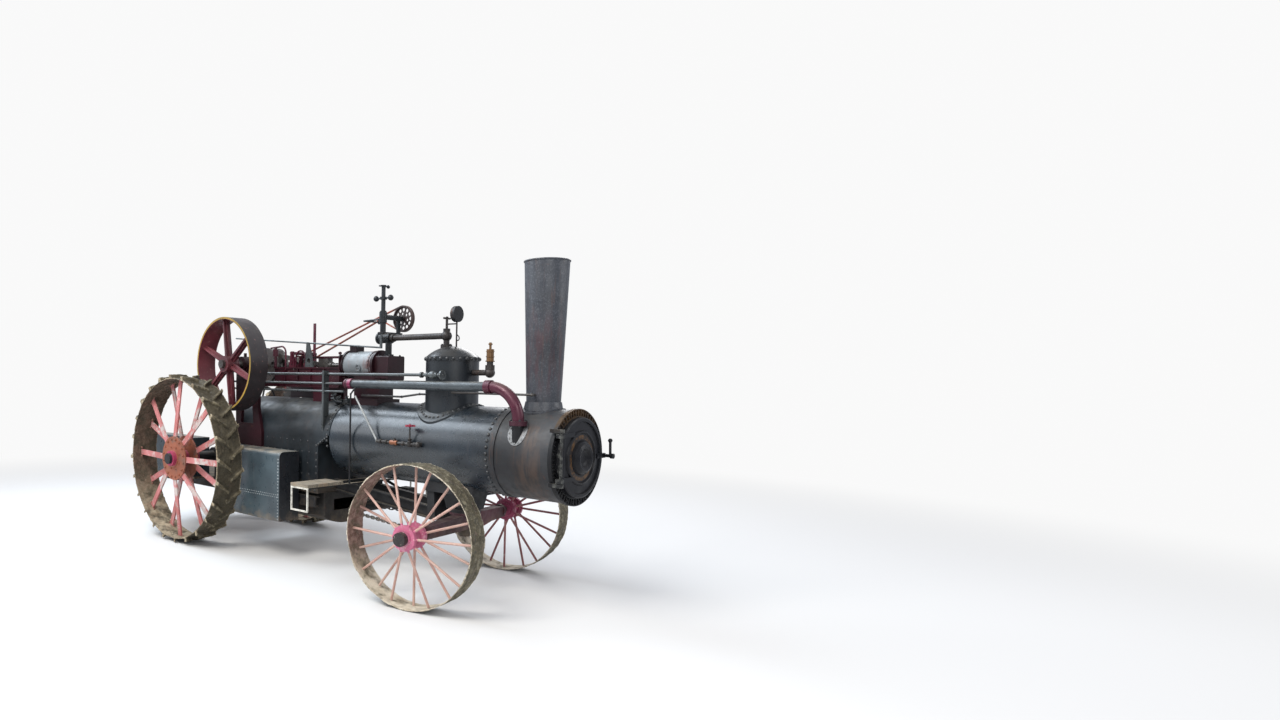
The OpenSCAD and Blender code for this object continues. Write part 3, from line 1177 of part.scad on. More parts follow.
reach_x = [firebox_x1 + clearance, wheelbase - 279];
reach_z = [715, 605];
module front_frame() {
  color("#2c1a1e") {
    difference() {
      union() {
        box([wheelbase - 280, -190, boiler_z - barrel_r - 30], [wheelbase + 220, 190, boiler_z - barrel_r + 90]);
        plate_yz(wheelbase - 110, wheelbase + 110) polygon([[-170, boiler_z - barrel_r - 30], [-110, axle_top_z + 46],
          [110, axle_top_z + 46], [170, boiler_z - barrel_r - 30]]);
        plate_yz(wheelbase - 280, wheelbase - 200) polygon([[-170, boiler_z - barrel_r - 30], [-150, reach_z[1] - 60],
          [150, reach_z[1] - 60], [170, boiler_z - barrel_r - 30]]);
        rod_z(axle_top_z + 21, axle_top_z + 48, 130, wheelbase);
      }
      rod_x(wheelbase - 400, wheelbase + 400, barrel_r + clearance, 0, boiler_z);
    }
    // kingpin with its nut
    rod_z(front_rim_r - 96, axle_top_z + 22, 36, wheelbase);
    rod_z(front_rim_r - 124, front_rim_r - 64, 52, wheelbase);
  }
  // reach channels back to the firebox
  color("#2a2c2e") for (s = [-1, 1]) {
    plate_xz(min(s * 100, s * 112), max(s * 100, s * 112)) polygon([[reach_x[0], reach_z[0] - 55],
      [reach_x[1], reach_z[1] - 55], [reach_x[1], reach_z[1] + 55], [reach_x[0], reach_z[0] + 55]]);
    for (e = [-1, 1]) plate_xz(min(s * 100, s * 150), max(s * 100, s * 150)) polygon([
      [reach_x[0], reach_z[0] + e * 50 - 5], [reach_x[1], reach_z[1] + e * 50 - 5],
      [reach_x[1], reach_z[1] + e * 50 + 5], [reach_x[0], reach_z[0] + e * 50 + 5]]);
  }
}

roller_x = 2060;
roller_z = 560;
roller_r = 46;
wheel_at = [-330, 430, 1440];
// Foot of the inclined shaft in the worm housing
shaft_foot = [roller_x - 40, wheel_at[1], roller_z + 70];
shaft_r = 14;
hanger_y = 275;
housing_y = [342, 448];
steer_bearing_x = 500;
function steer_shaft_z(x) = shaft_foot[2] + (wheel_at[2] - shaft_foot[2]) * (shaft_foot[0] - x) / (shaft_foot[0] - wheel_at[0]);
module steering_gear() color("#2d2f31") {
  // roller for the chains, with its worm wheel
  rod_y(-hanger_y - 20, 301, 20, roller_x, roller_z);
  rod_y(-250, 250, roller_r, roller_x, roller_z);
  rod_y(300, housing_y[0] - 3, 84, roller_x, roller_z);
  // hangers that carry the roller under the reach beams
  for (s = [-1, 1]) difference() {
    union() {
      box([roller_x - 34, s * hanger_y - 12, roller_z - 34], [roller_x + 34, s * hanger_y + 12, reach_under]);
      box([roller_x - 34, min(s * 112, s * hanger_y), reach_under - 14],
          [roller_x + 34, max(s * 112, s * hanger_y), reach_under]);
    }
    rod_y(s * hanger_y - 13, s * hanger_y + 13, 20 + running, roller_x, roller_z);
  }
  // worm housing, carried by an arm from the left hanger
  difference() {
    union() {
      box([roller_x - 60, housing_y[0], roller_z - 20], [roller_x + 60, housing_y[1], roller_z + 130]);
      box([roller_x - 30, hanger_y + 12 + clearance, reach_under - 34], [roller_x + 30, housing_y[0] + 1, reach_under]);
    }
    bar(shaft_foot, wheel_at, shaft_r + clearance);
    translate(shaft_foot) sphere(r = shaft_r + 1);
  }
  // inclined shaft, its bearing on the engine's bracket, and the hand wheel
  bar(shaft_foot, wheel_at, shaft_r);
  z = steer_shaft_z(steer_bearing_x);
  difference() {
    box([steer_bearing_x - 22, wrapper_r + 34 + clearance, z - 34], [steer_bearing_x + 22, wheel_at[1] + 26, z + 34]);
    bar(shaft_foot, wheel_at, shaft_r + running);
  }
  lean = atan2(shaft_foot[0] - wheel_at[0], wheel_at[2] - shaft_foot[2]);
  translate(wheel_at) rotate([0, -lean, 0]) difference() {
    union() {
      rotate_extrude() translate([190, 0]) circle(r = 13, $fn = 24);
      translate([0, 0, -18]) cylinder(r = 30, h = 34);
      for (a = [0:90:270]) rotate([0, 0, a]) translate([20, -9, -6]) cube([165, 18, 12]);
    }
    translate([0, 0, -60]) cylinder(r = shaft_r + clearance, h = 60 + clearance);
  }
}

function eye_at(s) = [wheelbase, 0, 0] + concat(turned([eye_x, s * eye_y], steer_rest), [eye_z]);
chain_tail = [[200, 170], [340, 190]];
link_t = 9;
link_in = [42, 13];
module link_ring(grow) hull() for (e = [-1, 1])
  translate([e * (link_in[0] - link_in[1]) / 2, 0]) rotate(22.5) circle(r = (link_in[1] / 2 + grow) / cos(22.5), $fn = 8);
// One flat link along X, and the chain of links from a to b with every second one turned on edge
module link() translate([0, 0, -link_t / 2]) linear_extrude(height = link_t) difference() {
  link_ring(link_t);
  link_ring(0);
}
module chain(a, b) {
  run = norm(b - a);
  count = floor(run / link_in[0]);
  pitch = link_in[0] + 0.4;
  translate(b) rotate([0, 0, atan2(a[1] - b[1], a[0] - b[0])])
    for (k = [0:count - 2]) translate([chain_eye_r + 5 + pitch * (k + 0.5), 0, 0]) rotate([k % 2 == 0 ? 0 : 90, 0, 0]) link();
}
chain_eye_r = 20;
module steering_chain(s) color("#38322d") {
  e = eye_at(s);
  tail = s < 0 ? chain_tail[0] : chain_tail[1];
  difference() {
    rod_z(eye_z - 10, eye_z + 10, chain_eye_r, e[0], e[1]);
    rod_z(eye_z - 11, eye_z + 11, eye_pin_r + running, e[0], e[1]);
  }
  chain([roller_x - tail[0], s * tail[1], eye_z], e);
}

step_x = [roller_x - 320, roller_x - 80];
step_top_z = 800;
function reach_top(x) = reach_z[0] + 55 + (reach_z[1] - reach_z[0]) * (x - reach_x[0]) / (reach_x[1] - reach_x[0]);
reach_under = reach_top(roller_x) - 110 - clearance - 3;
module side_steps() {
  color("#2c2d2e") for (x = [step_x[0] + 12, step_x[1] - 46]) {
    box([x, -790, step_top_z - 42], [x + 34, 790, step_top_z - 27]);
    for (s = [-1, 1]) plate_xz(s * 125 - 25, s * 125 + 25) polygon([
      [x, reach_top(x) + clearance], [x + 34, reach_top(x + 34) + clearance], [x + 34, step_top_z - 40], [x, step_top_z - 40]]);
  }
  for (s = [-1, 1]) {
    color("#8a7d66") box([step_x[0], min(s * 380, s * 800), step_top_z - 28], [step_x[1], max(s * 380, s * 800), step_top_z]);
    // stirrup below the step
    color("#e8e6da") difference() {
      box([step_x[0] + 4, s * 795 - 6, 556], [step_x[1] - 4, s * 795 + 6, step_top_z - 26]);
      box([step_x[0] + 18, s * 795 - 7, 570], [step_x[1] - 18, s * 795 + 7, step_top_z - 43]);
    }
  }
}

in_frame() boiler_barrel();
in_frame() firebox_shell();
in_frame() ash_pan();
in_frame() smokebox_shell();
in_frame() smokebox_ring();
in_frame() smokebox_door();
in_frame() fire_door();
in_frame() chimney();
in_frame() steam_dome();
in_frame() dome_fittings();
in_frame() governor();
in_frame() governor_pulley();
in_frame() governor_belt();
in_frame() cylinder_block();
in_frame() cylinder_jacket();
in_frame() engine_bed();
in_frame() crosshead();
in_frame() connecting_rod();
in_frame() valve_gear();
in_frame() bearing_brackets();
in_frame() crankshaft();
in_frame() flywheel();
in_frame() intermediate_gear();
in_frame() exhaust_pipe();
in_frame() side_rods();
in_frame() feed_pipe();
in_frame() side_tank();
in_frame() rear_frame();
in_frame() platform();
in_frame() rear_bunkers();
in_frame() at_rear_wheel(-1) rear_rim();  // rear_rim_right
in_frame() at_rear_wheel(-1) rear_hub();  // rear_hub_right
in_frame() at_rear_wheel(1) rear_rim();  // rear_rim_left
in_frame() at_rear_wheel(1) rear_hub();  // rear_hub_left
in_frame() master_gear();
in_frame() front_frame();
in_frame() front_axle();
in_frame() at_front_wheel(-1) front_rim();  // front_rim_right
in_frame() at_front_wheel(-1) front_hub();  // front_hub_right
in_frame() at_front_wheel(1) front_rim();  // front_rim_left
in_frame() at_front_wheel(1) front_hub();  // front_hub_left
in_frame() steering_gear();
in_frame() steering_chain(-1);  // steering_chain_right
in_frame() steering_chain(1);  // steering_chain_left
in_frame() side_steps();
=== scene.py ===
"""Looks of the steam traction engine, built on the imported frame. Lengths in metres, x from the rear axle."""
import json
import math

import bmesh
import bpy
import numpy as np
from mathutils import Matrix, Vector, noise


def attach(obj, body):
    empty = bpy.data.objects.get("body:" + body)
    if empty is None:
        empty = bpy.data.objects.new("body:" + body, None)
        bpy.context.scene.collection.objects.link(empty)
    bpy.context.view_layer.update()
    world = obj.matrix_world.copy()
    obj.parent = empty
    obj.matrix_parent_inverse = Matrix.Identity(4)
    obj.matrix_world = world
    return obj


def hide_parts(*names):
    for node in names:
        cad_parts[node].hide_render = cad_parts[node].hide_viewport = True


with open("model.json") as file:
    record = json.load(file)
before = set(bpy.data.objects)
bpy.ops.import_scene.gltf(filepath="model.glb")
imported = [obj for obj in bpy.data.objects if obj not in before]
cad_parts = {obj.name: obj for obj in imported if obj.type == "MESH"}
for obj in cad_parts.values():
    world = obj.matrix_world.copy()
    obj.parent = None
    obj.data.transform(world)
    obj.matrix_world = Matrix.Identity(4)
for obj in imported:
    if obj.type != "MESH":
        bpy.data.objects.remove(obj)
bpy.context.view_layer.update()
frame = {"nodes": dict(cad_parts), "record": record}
nodes = frame["nodes"]
joint_places = {joint["name"]: joint["pos_m"] for joint in frame["record"]["behaviour"]["joints"]}

# Places that the frame's joints give
REAR_AXLE_X = joint_places["rear_right_spin"][0]
REAR_Z = joint_places["rear_right_spin"][2]
FRONT_R = joint_places["steer"][2]
WHEELBASE = joint_places["steer"][0] - REAR_AXLE_X
BOILER_Z = joint_places["door_swing"][2]
CRANK_X = joint_places["crank_spin"][0] - REAR_AXLE_X
ENGINE_Z = joint_places["crank_spin"][2]

# Sizes and places of the part, as its source has them
REAR_R = 0.838
LUG_H = 0.040
REAR_Y = 0.980
REAR_W = 0.300
REAR_BOSS_R = 0.074
FRONT_W = 0.215
FRONT_Y = 0.930
RIM_THICK = 0.012
STEER = math.radians(10)
BARREL_R = 0.350
WRAP_R = 0.356
SMOKE_R = 0.352
SEAM_X = 3.561
LAP_X = 1.750
BACK_X = 0.300
EXHAUST_Y = -0.300
EXHAUST_Z = 1.688
EXHAUST_DROP_X = 3.790
JACKET_R = 0.130
DOME_X = 2.912
DOME_R = 0.225
DOME_TOP = 1.930
SAFETY_X = DOME_X + 0.390
GAUGE_X = DOME_X + 0.022
GAUGE_Z = 2.293
DOOR_X = 4.115
FLY_R = 0.481
FLY_Y = 0.640
FEED_Y = -BARREL_R - 0.026
FEED_Z = BOILER_Z + 0.023
INJECTOR_VALVE_X = 2.779
CHECK_VALVE_X = 2.606
TANK_Y = -0.640

FORWARD = (1, 0, 0)
BACKWARD = (-1, 0, 0)
ACROSS = (0, 1, 0)
UP = (0, 0, 1)
FRONT_AXLE = (-math.sin(STEER), math.cos(STEER), 0)


def place(x, y, z):
    """A point, given with x from the rear axle."""
    return Vector((x + REAR_AXLE_X, y, z))


def front_wheel_place(offset):
    """A point of the front axle, at a distance from its middle."""
    return place(WHEELBASE - math.sin(STEER) * offset, math.cos(STEER) * offset, FRONT_R)


# Shader nodes
class Graph:
    """Short names for the shader nodes of one material."""

    def __init__(self, name):
        self.mat = bpy.data.materials.new(name)
        self.mat.use_nodes = True
        self.tree = self.mat.node_tree
        self.tree.nodes.clear()
        self.out = self.new("OutputMaterial")
        self.bsdf = self.new("BsdfPrincipled")
        self.link(self.bsdf.outputs[0], self.out.inputs[0])
        coordinates = self.new("TexCoord")
        self.point = coordinates.outputs["Object"]
        parts = self.new("SeparateXYZ")
        self.link(self.point, parts.inputs[0])
        self.x, self.y, self.z = parts.outputs
        normal = self.new("SeparateXYZ")
        self.link(coordinates.outputs["Normal"], normal.inputs[0])
        self.upward = normal.outputs[2]

    def new(self, kind):
        return self.tree.nodes.new("ShaderNode" + kind)

    def link(self, output, socket):
        self.tree.links.new(output, socket)

    def put(self, socket, value):
        """Link another node's output to a socket, or set a number or colour there."""
        if hasattr(value, "is_linked"):
            self.link(value, socket)
        elif isinstance(value, (tuple, list)):
            socket.default_value = (*value[:3], 1.0)
        else:
            socket.default_value = value

    def math(self, operation, a, b=0.0, clamp=False):
        node = self.new("Math")
        node.operation = operation
        node.use_clamp = clamp
        self.put(node.inputs[0], a)
        self.put(node.inputs[1], b)
        return node.outputs[0]

    def times(self, a, b):
        return self.math("MULTIPLY", a, b)

    def noise(self, scale, detail, rough, stretch=(1, 1, 1), distort=0.0):
        mapping = self.new("Mapping")
        mapping.inputs["Scale"].default_value = stretch
        self.link(self.point, mapping.inputs[0])
        node = self.new("TexNoise")
        node.inputs["Scale"].default_value = scale
        node.inputs["Detail"].default_value = detail
        node.inputs["Roughness"].default_value = rough
        node.inputs["Distortion"].default_value = distort
        self.link(mapping.outputs[0], node.inputs["Vector"])
        return node.outputs["Fac"]

    def ramp(self, value, start, end, least=0.0, most=1.0):
        """A smooth change from least at start to most at end; start may be above end."""
        node = self.new("MapRange")
        node.interpolation_type = "SMOOTHSTEP"
        self.put(node.inputs["Value"], value)
        node.inputs["From Min"].default_value = start
        node.inputs["From Max"].default_value = end
        node.inputs["To Min"].default_value = least
        node.inputs["To Max"].default_value = most
        return node.outputs[0]

    def between(self, value, low, high, soft):
        above = self.ramp(value, low - soft, low + soft)
        return self.times(above, self.ramp(value, high + soft, high - soft))

    def mix(self, share, a, b):
        """Colour a, with a share of colour b."""
        node = self.new("Mix")
        node.data_type = "RGBA"
        self.put(node.inputs["Factor"], share)
        self.put(node.inputs[6], a)
        self.put(node.inputs[7], b)
        return node.outputs[2]

    def wheel(self, centre, axis):
        """Distance along and from an axis through a point."""
        offset = self.new("VectorMath")
        offset.operation = "SUBTRACT"
        self.link(self.point, offset.inputs[0])
        offset.inputs[1].default_value = centre
        with_axis = self.new("VectorMath")
        with_axis.operation = "DOT_PRODUCT"
        self.link(offset.outputs[0], with_axis.inputs[0])
        with_axis.inputs[1].default_value = axis
        with_itself = self.new("VectorMath")
        with_itself.operation = "DOT_PRODUCT"
        self.link(offset.outputs[0], with_itself.inputs[0])
        self.link(offset.outputs[0], with_itself.inputs[1])
        along = with_axis.outputs["Value"]
        square = self.math("SUBTRACT", with_itself.outputs["Value"], self.times(along, along))
        return along, self.math("SQRT", self.math("MAXIMUM", square, 0.0))

    def bump(self, height, strength, distance):
        node = self.new("Bump")
        node.inputs["Strength"].default_value = strength
        node.inputs["Distance"].default_value = distance
        self.link(height, node.inputs["Height"])
        self.link(node.outputs[0], self.bsdf.inputs["Normal"])


# Measures that a mask can follow
def along_x(g):
    """x from the rear axle."""
    return g.math("SUBTRACT", g.x, REAR_AXLE_X)


def along_y(g):
    return g.y


def along_z(g):
    return g.z


def off_centre(g):
    """Distance from the middle plane."""
    return g.math("ABSOLUTE", g.y)


def from_boiler_axis(g):
    return g.wheel(place(0, 0, BOILER_Z), FORWARD)[1]


def from_crank_axis(g):
    return g.wheel(place(CRANK_X, 0, ENGINE_Z), ACROSS)[1]


# Masks, each a function of a material's graph
SOFT = 0.002


def rises(measure, start, end, most=1.0):
    """Nothing at start, all of it at end and beyond."""
    def mask(g):
        return g.ramp(measure(g), start, end, 0.0, most)
    return mask


def band(measure, low, high, soft=SOFT):
    def mask(g):
        return g.between(measure(g), low, high, soft)
    return mask


def patches(scale, detail, rough, start, end, least=0.0, most=1.0, stretch=(1, 1, 1), distort=0.0):
    """Irregular patches, where a noise is above start."""
    def mask(g):
        return g.ramp(g.noise(scale, detail, rough, stretch, distort), start, end, least, most)
    return mask


def within(centre, axis, radius, low=-9.0, high=9.0):
    """What lies inside a radius of an axis, between two places along it."""
    def mask(g):
        along, r = g.wheel(centre, axis)
        return g.times(g.ramp(r, radius + SOFT, radius - SOFT), g.between(along, low, high, SOFT))
    return mask


def all_of(*masks):
    def mask(g):
        value = masks[0](g)
        for other in masks[1:]:
            value = g.times(value, other(g))
        return value
    return mask


def any_of(one, other):
    def mask(g):
        return g.math("MAXIMUM", one(g), other(g))
    return mask


# Kinds of material; each one that is made goes into materials by its name
materials = {}

RUST = (0.19, 0.075, 0.035)
DUST = (0.30, 0.26, 0.20)
MUD = (0.255, 0.195, 0.13)
MUD_DARK = (0.12, 0.085, 0.055)
DAMP_SPOT = (0.15, 0.10, 0.07)
BOARD_GAP = (0.02, 0.015, 0.01)
BOARDS_PER_METRE = 7.2


def shade(color, share):
    return tuple(c * share for c in color)


def rust_mask(g, spots, rust, streak):
    """Blooms of rust and, with streak, lines that run down."""
    rusty = g.ramp(spots, 0.66 - 0.22 * rust, 0.78 - 0.16 * rust, 0.0, min(1.0, 0.35 + rust))
    if streak:
        lines = g.noise(5.0, 6, 0.6, stretch=(7.0, 7.0, 0.55))
        rusty = g.math("MAXIMUM", rusty, g.ramp(lines, 0.56, 0.74, 0.0, streak))
    return rusty


def dust_mask(g, dust):
    """Dust in patches on what faces up."""
    settled = g.times(g.ramp(g.upward, 0.35, 1.0), g.ramp(g.noise(6.0, 7, 0.65), 0.3, 0.65))
    return g.times(settled, dust)


def mud_mask(g, low, high, amount):
    """Mud up to a wavy line: all of the amount at low, none at high."""
    waves = g.math("SUBTRACT", g.noise(11.0, 7, 0.7), 0.5)
    return g.ramp(g.math("ADD", g.z, g.times(waves, 0.5)), low, high, amount, 0.0)


def painted(name, base, dark, rust=0.3, dust=0.25, rough=(0.35, 0.6), metal=0.0, mud_z=None, streak=0.0,
            masks=(), bump=0.12, chips=0.0, chip_color=(0.5, 0.45, 0.4), shine=0.5):
    """Paint or bare metal with tone changes, rust blooms, streaks, settled dust and, low down, mud."""
    g = Graph(name)
    tone = g.ramp(g.noise(2.2, 6, 0.6), 0.32, 0.7)
    color = g.mix(tone, dark, base)
    for mask, other in masks:
        color = g.mix(mask(g), color, g.mix(tone, shade(other, 0.6), other))
    fine = g.noise(220.0, 3, 0.6)
    color = g.mix(g.ramp(fine, 0.45, 0.75, 0.0, 0.25), color, shade(base, 0.4))
    spots = g.noise(9.0, 9, 0.72, distort=0.4)
    rusty = rust_mask(g, spots, rust, streak)
    color = g.mix(rusty, color, g.mix(g.ramp(fine, 0.4, 0.6), shade(RUST, 0.55), RUST))
    if chips:
        flakes = g.ramp(g.noise(34.0, 6, 0.7), 0.68 - 0.12 * chips, 0.70 - 0.12 * chips)
        color = g.mix(g.times(flakes, 0.85), color, chip_color)
    dirty = dust_mask(g, dust)
    color = g.mix(dirty, color, DUST)
    if mud_z:
        muddy = mud_mask(g, *mud_z)
        color = g.mix(muddy, color, g.mix(tone, MUD_DARK, MUD))
        dirty = g.math("MAXIMUM", dirty, muddy)
    g.link(color, g.bsdf.inputs["Base Color"])

    dull = g.math("MAXIMUM", rusty, dirty)
    plain_rough = g.ramp(g.noise(14.0, 6, 0.6), 0.3, 0.7, *rough)
    g.link(g.math("ADD", plain_rough, g.times(dull, 0.35), clamp=True), g.bsdf.inputs["Roughness"])
    if metal:
        bare = g.math("MULTIPLY", g.math("SUBTRACT", 1.0, dull), metal, clamp=True)
        g.link(bare, g.bsdf.inputs["Metallic"])
    g.bsdf.inputs["Specular IOR Level"].default_value = shine
    g.bump(g.math("ADD", g.times(spots, 0.6), g.times(fine, 0.25)), bump, 0.004)
    materials[name] = g.mat


def muddy_rim(name, inner_radius, centre, axis, half, tread, crumb, inner_tones, dry_tones, lug_base=None):
    """Caked wheel: dark damp tread, dry pale mud on the side faces and on the lower inner face."""
    g = Graph(name)
    tone = g.noise(7.0, 8, 0.7)
    crumbs = g.noise(60.0, 6, 0.75)
    clods = g.noise(23.0, 6, 0.7)

    # the tread, with painted shade between the lugs
    color = g.mix(g.ramp(tone, 0.36, 0.62), shade(tread, 0.45), tread)
    color = g.mix(g.ramp(clods, 0.52, 0.64, 0.0, 0.8), color, shade(tread, 0.3))
    color = g.mix(g.ramp(g.noise(17.0, 7, 0.75), 0.50, 0.66, 0.0, 0.65), color, crumb)
    color = g.mix(g.ramp(crumbs, 0.50, 0.72, 0.0, 0.7), color, crumb)
    along, r = g.wheel(centre, axis)
    if lug_base:
        gap = g.ramp(r, lug_base + 0.004, lug_base + 0.026, 1.0, 0.0)
        color = g.mix(g.times(gap, 0.75), color, shade(tread, 0.36))

    # dry mud on the side faces, and low down on the inner face
    dry = g.mix(g.ramp(tone, 0.34, 0.60), *dry_tones)
    dry = g.mix(g.ramp(clods, 0.60, 0.74, 0.0, 0.6), dry, DAMP_SPOT)
    wavy_height = g.math("ADD", g.z, g.times(g.math("SUBTRACT", tone, 0.5), 0.4))
    low = g.ramp(wavy_height, centre[2] - 0.80 * inner_radius, centre[2] - 0.15 * inner_radius, 1.0, 0.0)
    inner = g.mix(low, g.mix(g.ramp(clods, 0.4, 0.6), *inner_tones), dry)
    edge = g.ramp(g.math("ABSOLUTE", along), half - 0.016, half - 0.004)
    color = g.mix(g.times(edge, g.ramp(crumbs, 0.42, 0.54, 0.25, 0.95)), color, dry)
    inside = g.ramp(r, inner_radius, inner_radius + 0.005, 1.0, 0.0)
    color = g.mix(g.times(inside, 0.92), color, inner)
    g.link(color, g.bsdf.inputs["Base Color"])
    g.link(g.ramp(clods, 0.42, 0.66, 0.92, 0.62), g.bsdf.inputs["Roughness"])
    g.bump(g.math("ADD", crumbs, g.times(tone, 0.8)), 0.6, 0.010)
    materials[name] = g.mat


def wood(name, base, masks=()):
    """Weathered boards that run along, with mud on them."""
    g = Graph(name)
    grain = g.noise(9.0, 8, 0.65, stretch=(1.0, 14.0, 8.0), distort=0.6)
    color = g.mix(g.ramp(grain, 0.35, 0.65), shade(base, 0.5), base)
    board = g.math("FRACT", g.times(g.y, BOARDS_PER_METRE))
    gap = g.ramp(g.math("ABSOLUTE", g.math("SUBTRACT", board, 0.5)), 0.475, 0.49)
    color = g.mix(gap, color, BOARD_GAP)
    color = g.mix(g.ramp(g.noise(8.0, 8, 0.7), 0.5, 0.62, 0.0, 0.8), color, MUD)
    for mask, other in masks:
        wear = g.ramp(g.noise(16.0, 7, 0.7), 0.42, 0.66)
        color = g.mix(mask(g), color, g.mix(wear, other, shade(other, 0.45)))
    g.link(color, g.bsdf.inputs["Base Color"])
    g.bsdf.inputs["Roughness"].default_value = 0.88
    g.bump(g.math("SUBTRACT", grain, gap), 0.4, 0.006)
    materials[name] = g.mat


# Boiler, dome and firebox
painted("boiler", (0.015, 0.024, 0.034), (0.006, 0.010, 0.014), rust=0.04, dust=0.06, rough=(0.25, 0.31),
        streak=0.05, bump=0.020, shine=0.72)
painted("dome", (0.013, 0.018, 0.023), (0.006, 0.008, 0.010), rust=0.06, dust=0.10, rough=(0.26, 0.38),
        streak=0.06, bump=0.03, shine=0.55)
painted("wrapper", (0.021, 0.028, 0.034), (0.008, 0.010, 0.012), rust=0.12, dust=0.16, rough=(0.32, 0.54),
        streak=0.12, mud_z=(0.6, 0.80, 0.35), shine=0.35)
painted("pan", (0.024, 0.021, 0.019), (0.010, 0.009, 0.008), rust=0.3, dust=0.2, rough=(0.55, 0.8),
        mud_z=(0.3, 0.5, 0.35))

# Smokebox: burnt brown low down, rusty ribs above, a rusty ring on the door, and on its hinge pale wear with a
# painted highlight
burnt = all_of(band(along_x, 3.80, 4.00, 0.07), rises(along_z, 1.44, 1.36, 0.75),
               patches(6.0, 7, 0.6, 0.36, 0.62, stretch=(4, 1.2, 0.5)))
rusty_ribs = all_of(rises(from_boiler_axis, 0.276, 0.284), rises(along_z, 1.36, 1.46),
                    patches(26.0, 5, 0.7, 0.36, 0.52, 0.2, 0.9))
rusty_ring = all_of(band(from_boiler_axis, 0.140, 0.170), patches(30.0, 5, 0.7, 0.42, 0.60, 0.1, 0.8))
# pale patches on the hinge: wear, and a painted highlight of its lit edges
hinge_wear_and_highlight = all_of(rises(along_y, -0.272, -0.292), rises(along_x, 4.118, 4.124),
                    patches(24.0, 6, 0.7, 0.44, 0.60, 0.1, 0.85))
WORN_EDGE_AND_HIGHLIGHT = (0.115, 0.118, 0.108)
painted("smokebox", (0.035, 0.038, 0.043), (0.014, 0.015, 0.017), rust=0.12, dust=0.10, rough=(0.34, 0.58),
        streak=0.25, shine=0.42, masks=[(burnt, (0.100, 0.066, 0.050))])
painted("ring", (0.015, 0.016, 0.018), (0.006, 0.006, 0.007), rust=0.18, dust=0.12, rough=(0.36, 0.58),
        shine=0.22, masks=[(rusty_ribs, (0.085, 0.048, 0.022)), (hinge_wear_and_highlight, WORN_EDGE_AND_HIGHLIGHT)])
painted("door", (0.008, 0.009, 0.012), (0.003, 0.003, 0.005), rust=0.10, dust=0.04, rough=(0.30, 0.50),
        shine=0.24, masks=[(rusty_ring, (0.150, 0.075, 0.024)), (hinge_wear_and_highlight, WORN_EDGE_AND_HIGHLIGHT)])

# Chimney: flaked all over, burnt red in the middle
flaked = patches(75.0, 5, 0.7, 0.50, 0.62, most=0.55)
burnt_red = all_of(band(along_z, 1.68, 2.20, 0.12),
                   patches(4.0, 8, 0.65, 0.44, 0.62, most=0.6, stretch=(5, 5, 0.8)))
painted("chimney", (0.040, 0.045, 0.055), (0.016, 0.017, 0.022), rust=0.16, dust=0.05, rough=(0.30, 0.52),
        streak=0.22, bump=0.22, chips=0.30, chip_color=(0.115, 0.12, 0.135),
        masks=[(flaked, (0.100, 0.108, 0.125)), (burnt_red, (0.075, 0.034, 0.040))])

# Engine: paint, bare steel and the lagging with its rusty front and dark underside
painted("maroon", (0.046, 0.006, 0.013), (0.013, 0.004, 0.005), rust=0.25, dust=0.10, rough=(0.28, 0.5),
        chips=0.2, shine=0.3)
painted("gear_red", (0.080, 0.010, 0.022), (0.018, 0.005, 0.008), rust=0.3, dust=0.1, rough=(0.26, 0.5),
        chips=0.35, chip_color=(0.12, 0.115, 0.11), shine=0.35)
painted("dark_maroon", (0.028, 0.005, 0.009), (0.010, 0.004, 0.005), rust=0.22, dust=0.10,
        rough=(0.30, 0.55), shine=0.26)
painted("steel", (0.19, 0.18, 0.17), (0.07, 0.06, 0.055), rust=0.3, dust=0.1, rough=(0.22, 0.46), metal=0.7)
rusty_front = all_of(rises(along_x, 1.90, 2.04), patches(11.0, 7, 0.7, 0.38, 0.58))
underside = rises(along_z, 1.83, 1.74)
painted("lagging", (0.31, 0.355, 0.375), (0.13, 0.145, 0.155), rust=0.46, dust=0.1, rough=(0.26, 0.46),
        streak=0.5, chips=0.25, chip_color=(0.085, 0.045, 0.04),
        masks=[(rusty_front, (0.11, 0.035, 0.030)), (underside, (0.05, 0.045, 0.048))])
painted("governor", (0.012, 0.016, 0.020), (0.005, 0.006, 0.007), rust=0.15, dust=0.12, rough=(0.28, 0.5),
        shine=0.35)
painted("pulley", (0.048, 0.030, 0.030), (0.018, 0.012, 0.012), rust=0.45, dust=0.2, rough=(0.4, 0.65))
painted("belt", (0.37, 0.085, 0.040), (0.18, 0.040, 0.022), rust=0.1, dust=0.05, rough=(0.6, 0.8),
        masks=[(rises(along_x, 1.93, 2.0), (0.045, 0.026, 0.022))])
fly_tread = rises(from_crank_axis, FLY_R - 0.004, FLY_R - 0.003)
fly_stripe = all_of(rises(along_y, -FLY_Y + 0.002, -FLY_Y - 0.001),
                    rises(from_crank_axis, FLY_R - 0.020, FLY_R - 0.018))
painted("flywheel", (0.155, 0.032, 0.042), (0.06, 0.014, 0.018), rust=0.25, dust=0.08, rough=(0.32, 0.58),
        chips=0.4, chip_color=(0.26, 0.13, 0.12),
        masks=[(fly_tread, (0.030, 0.026, 0.028)), (fly_stripe, (0.46, 0.31, 0.035))])

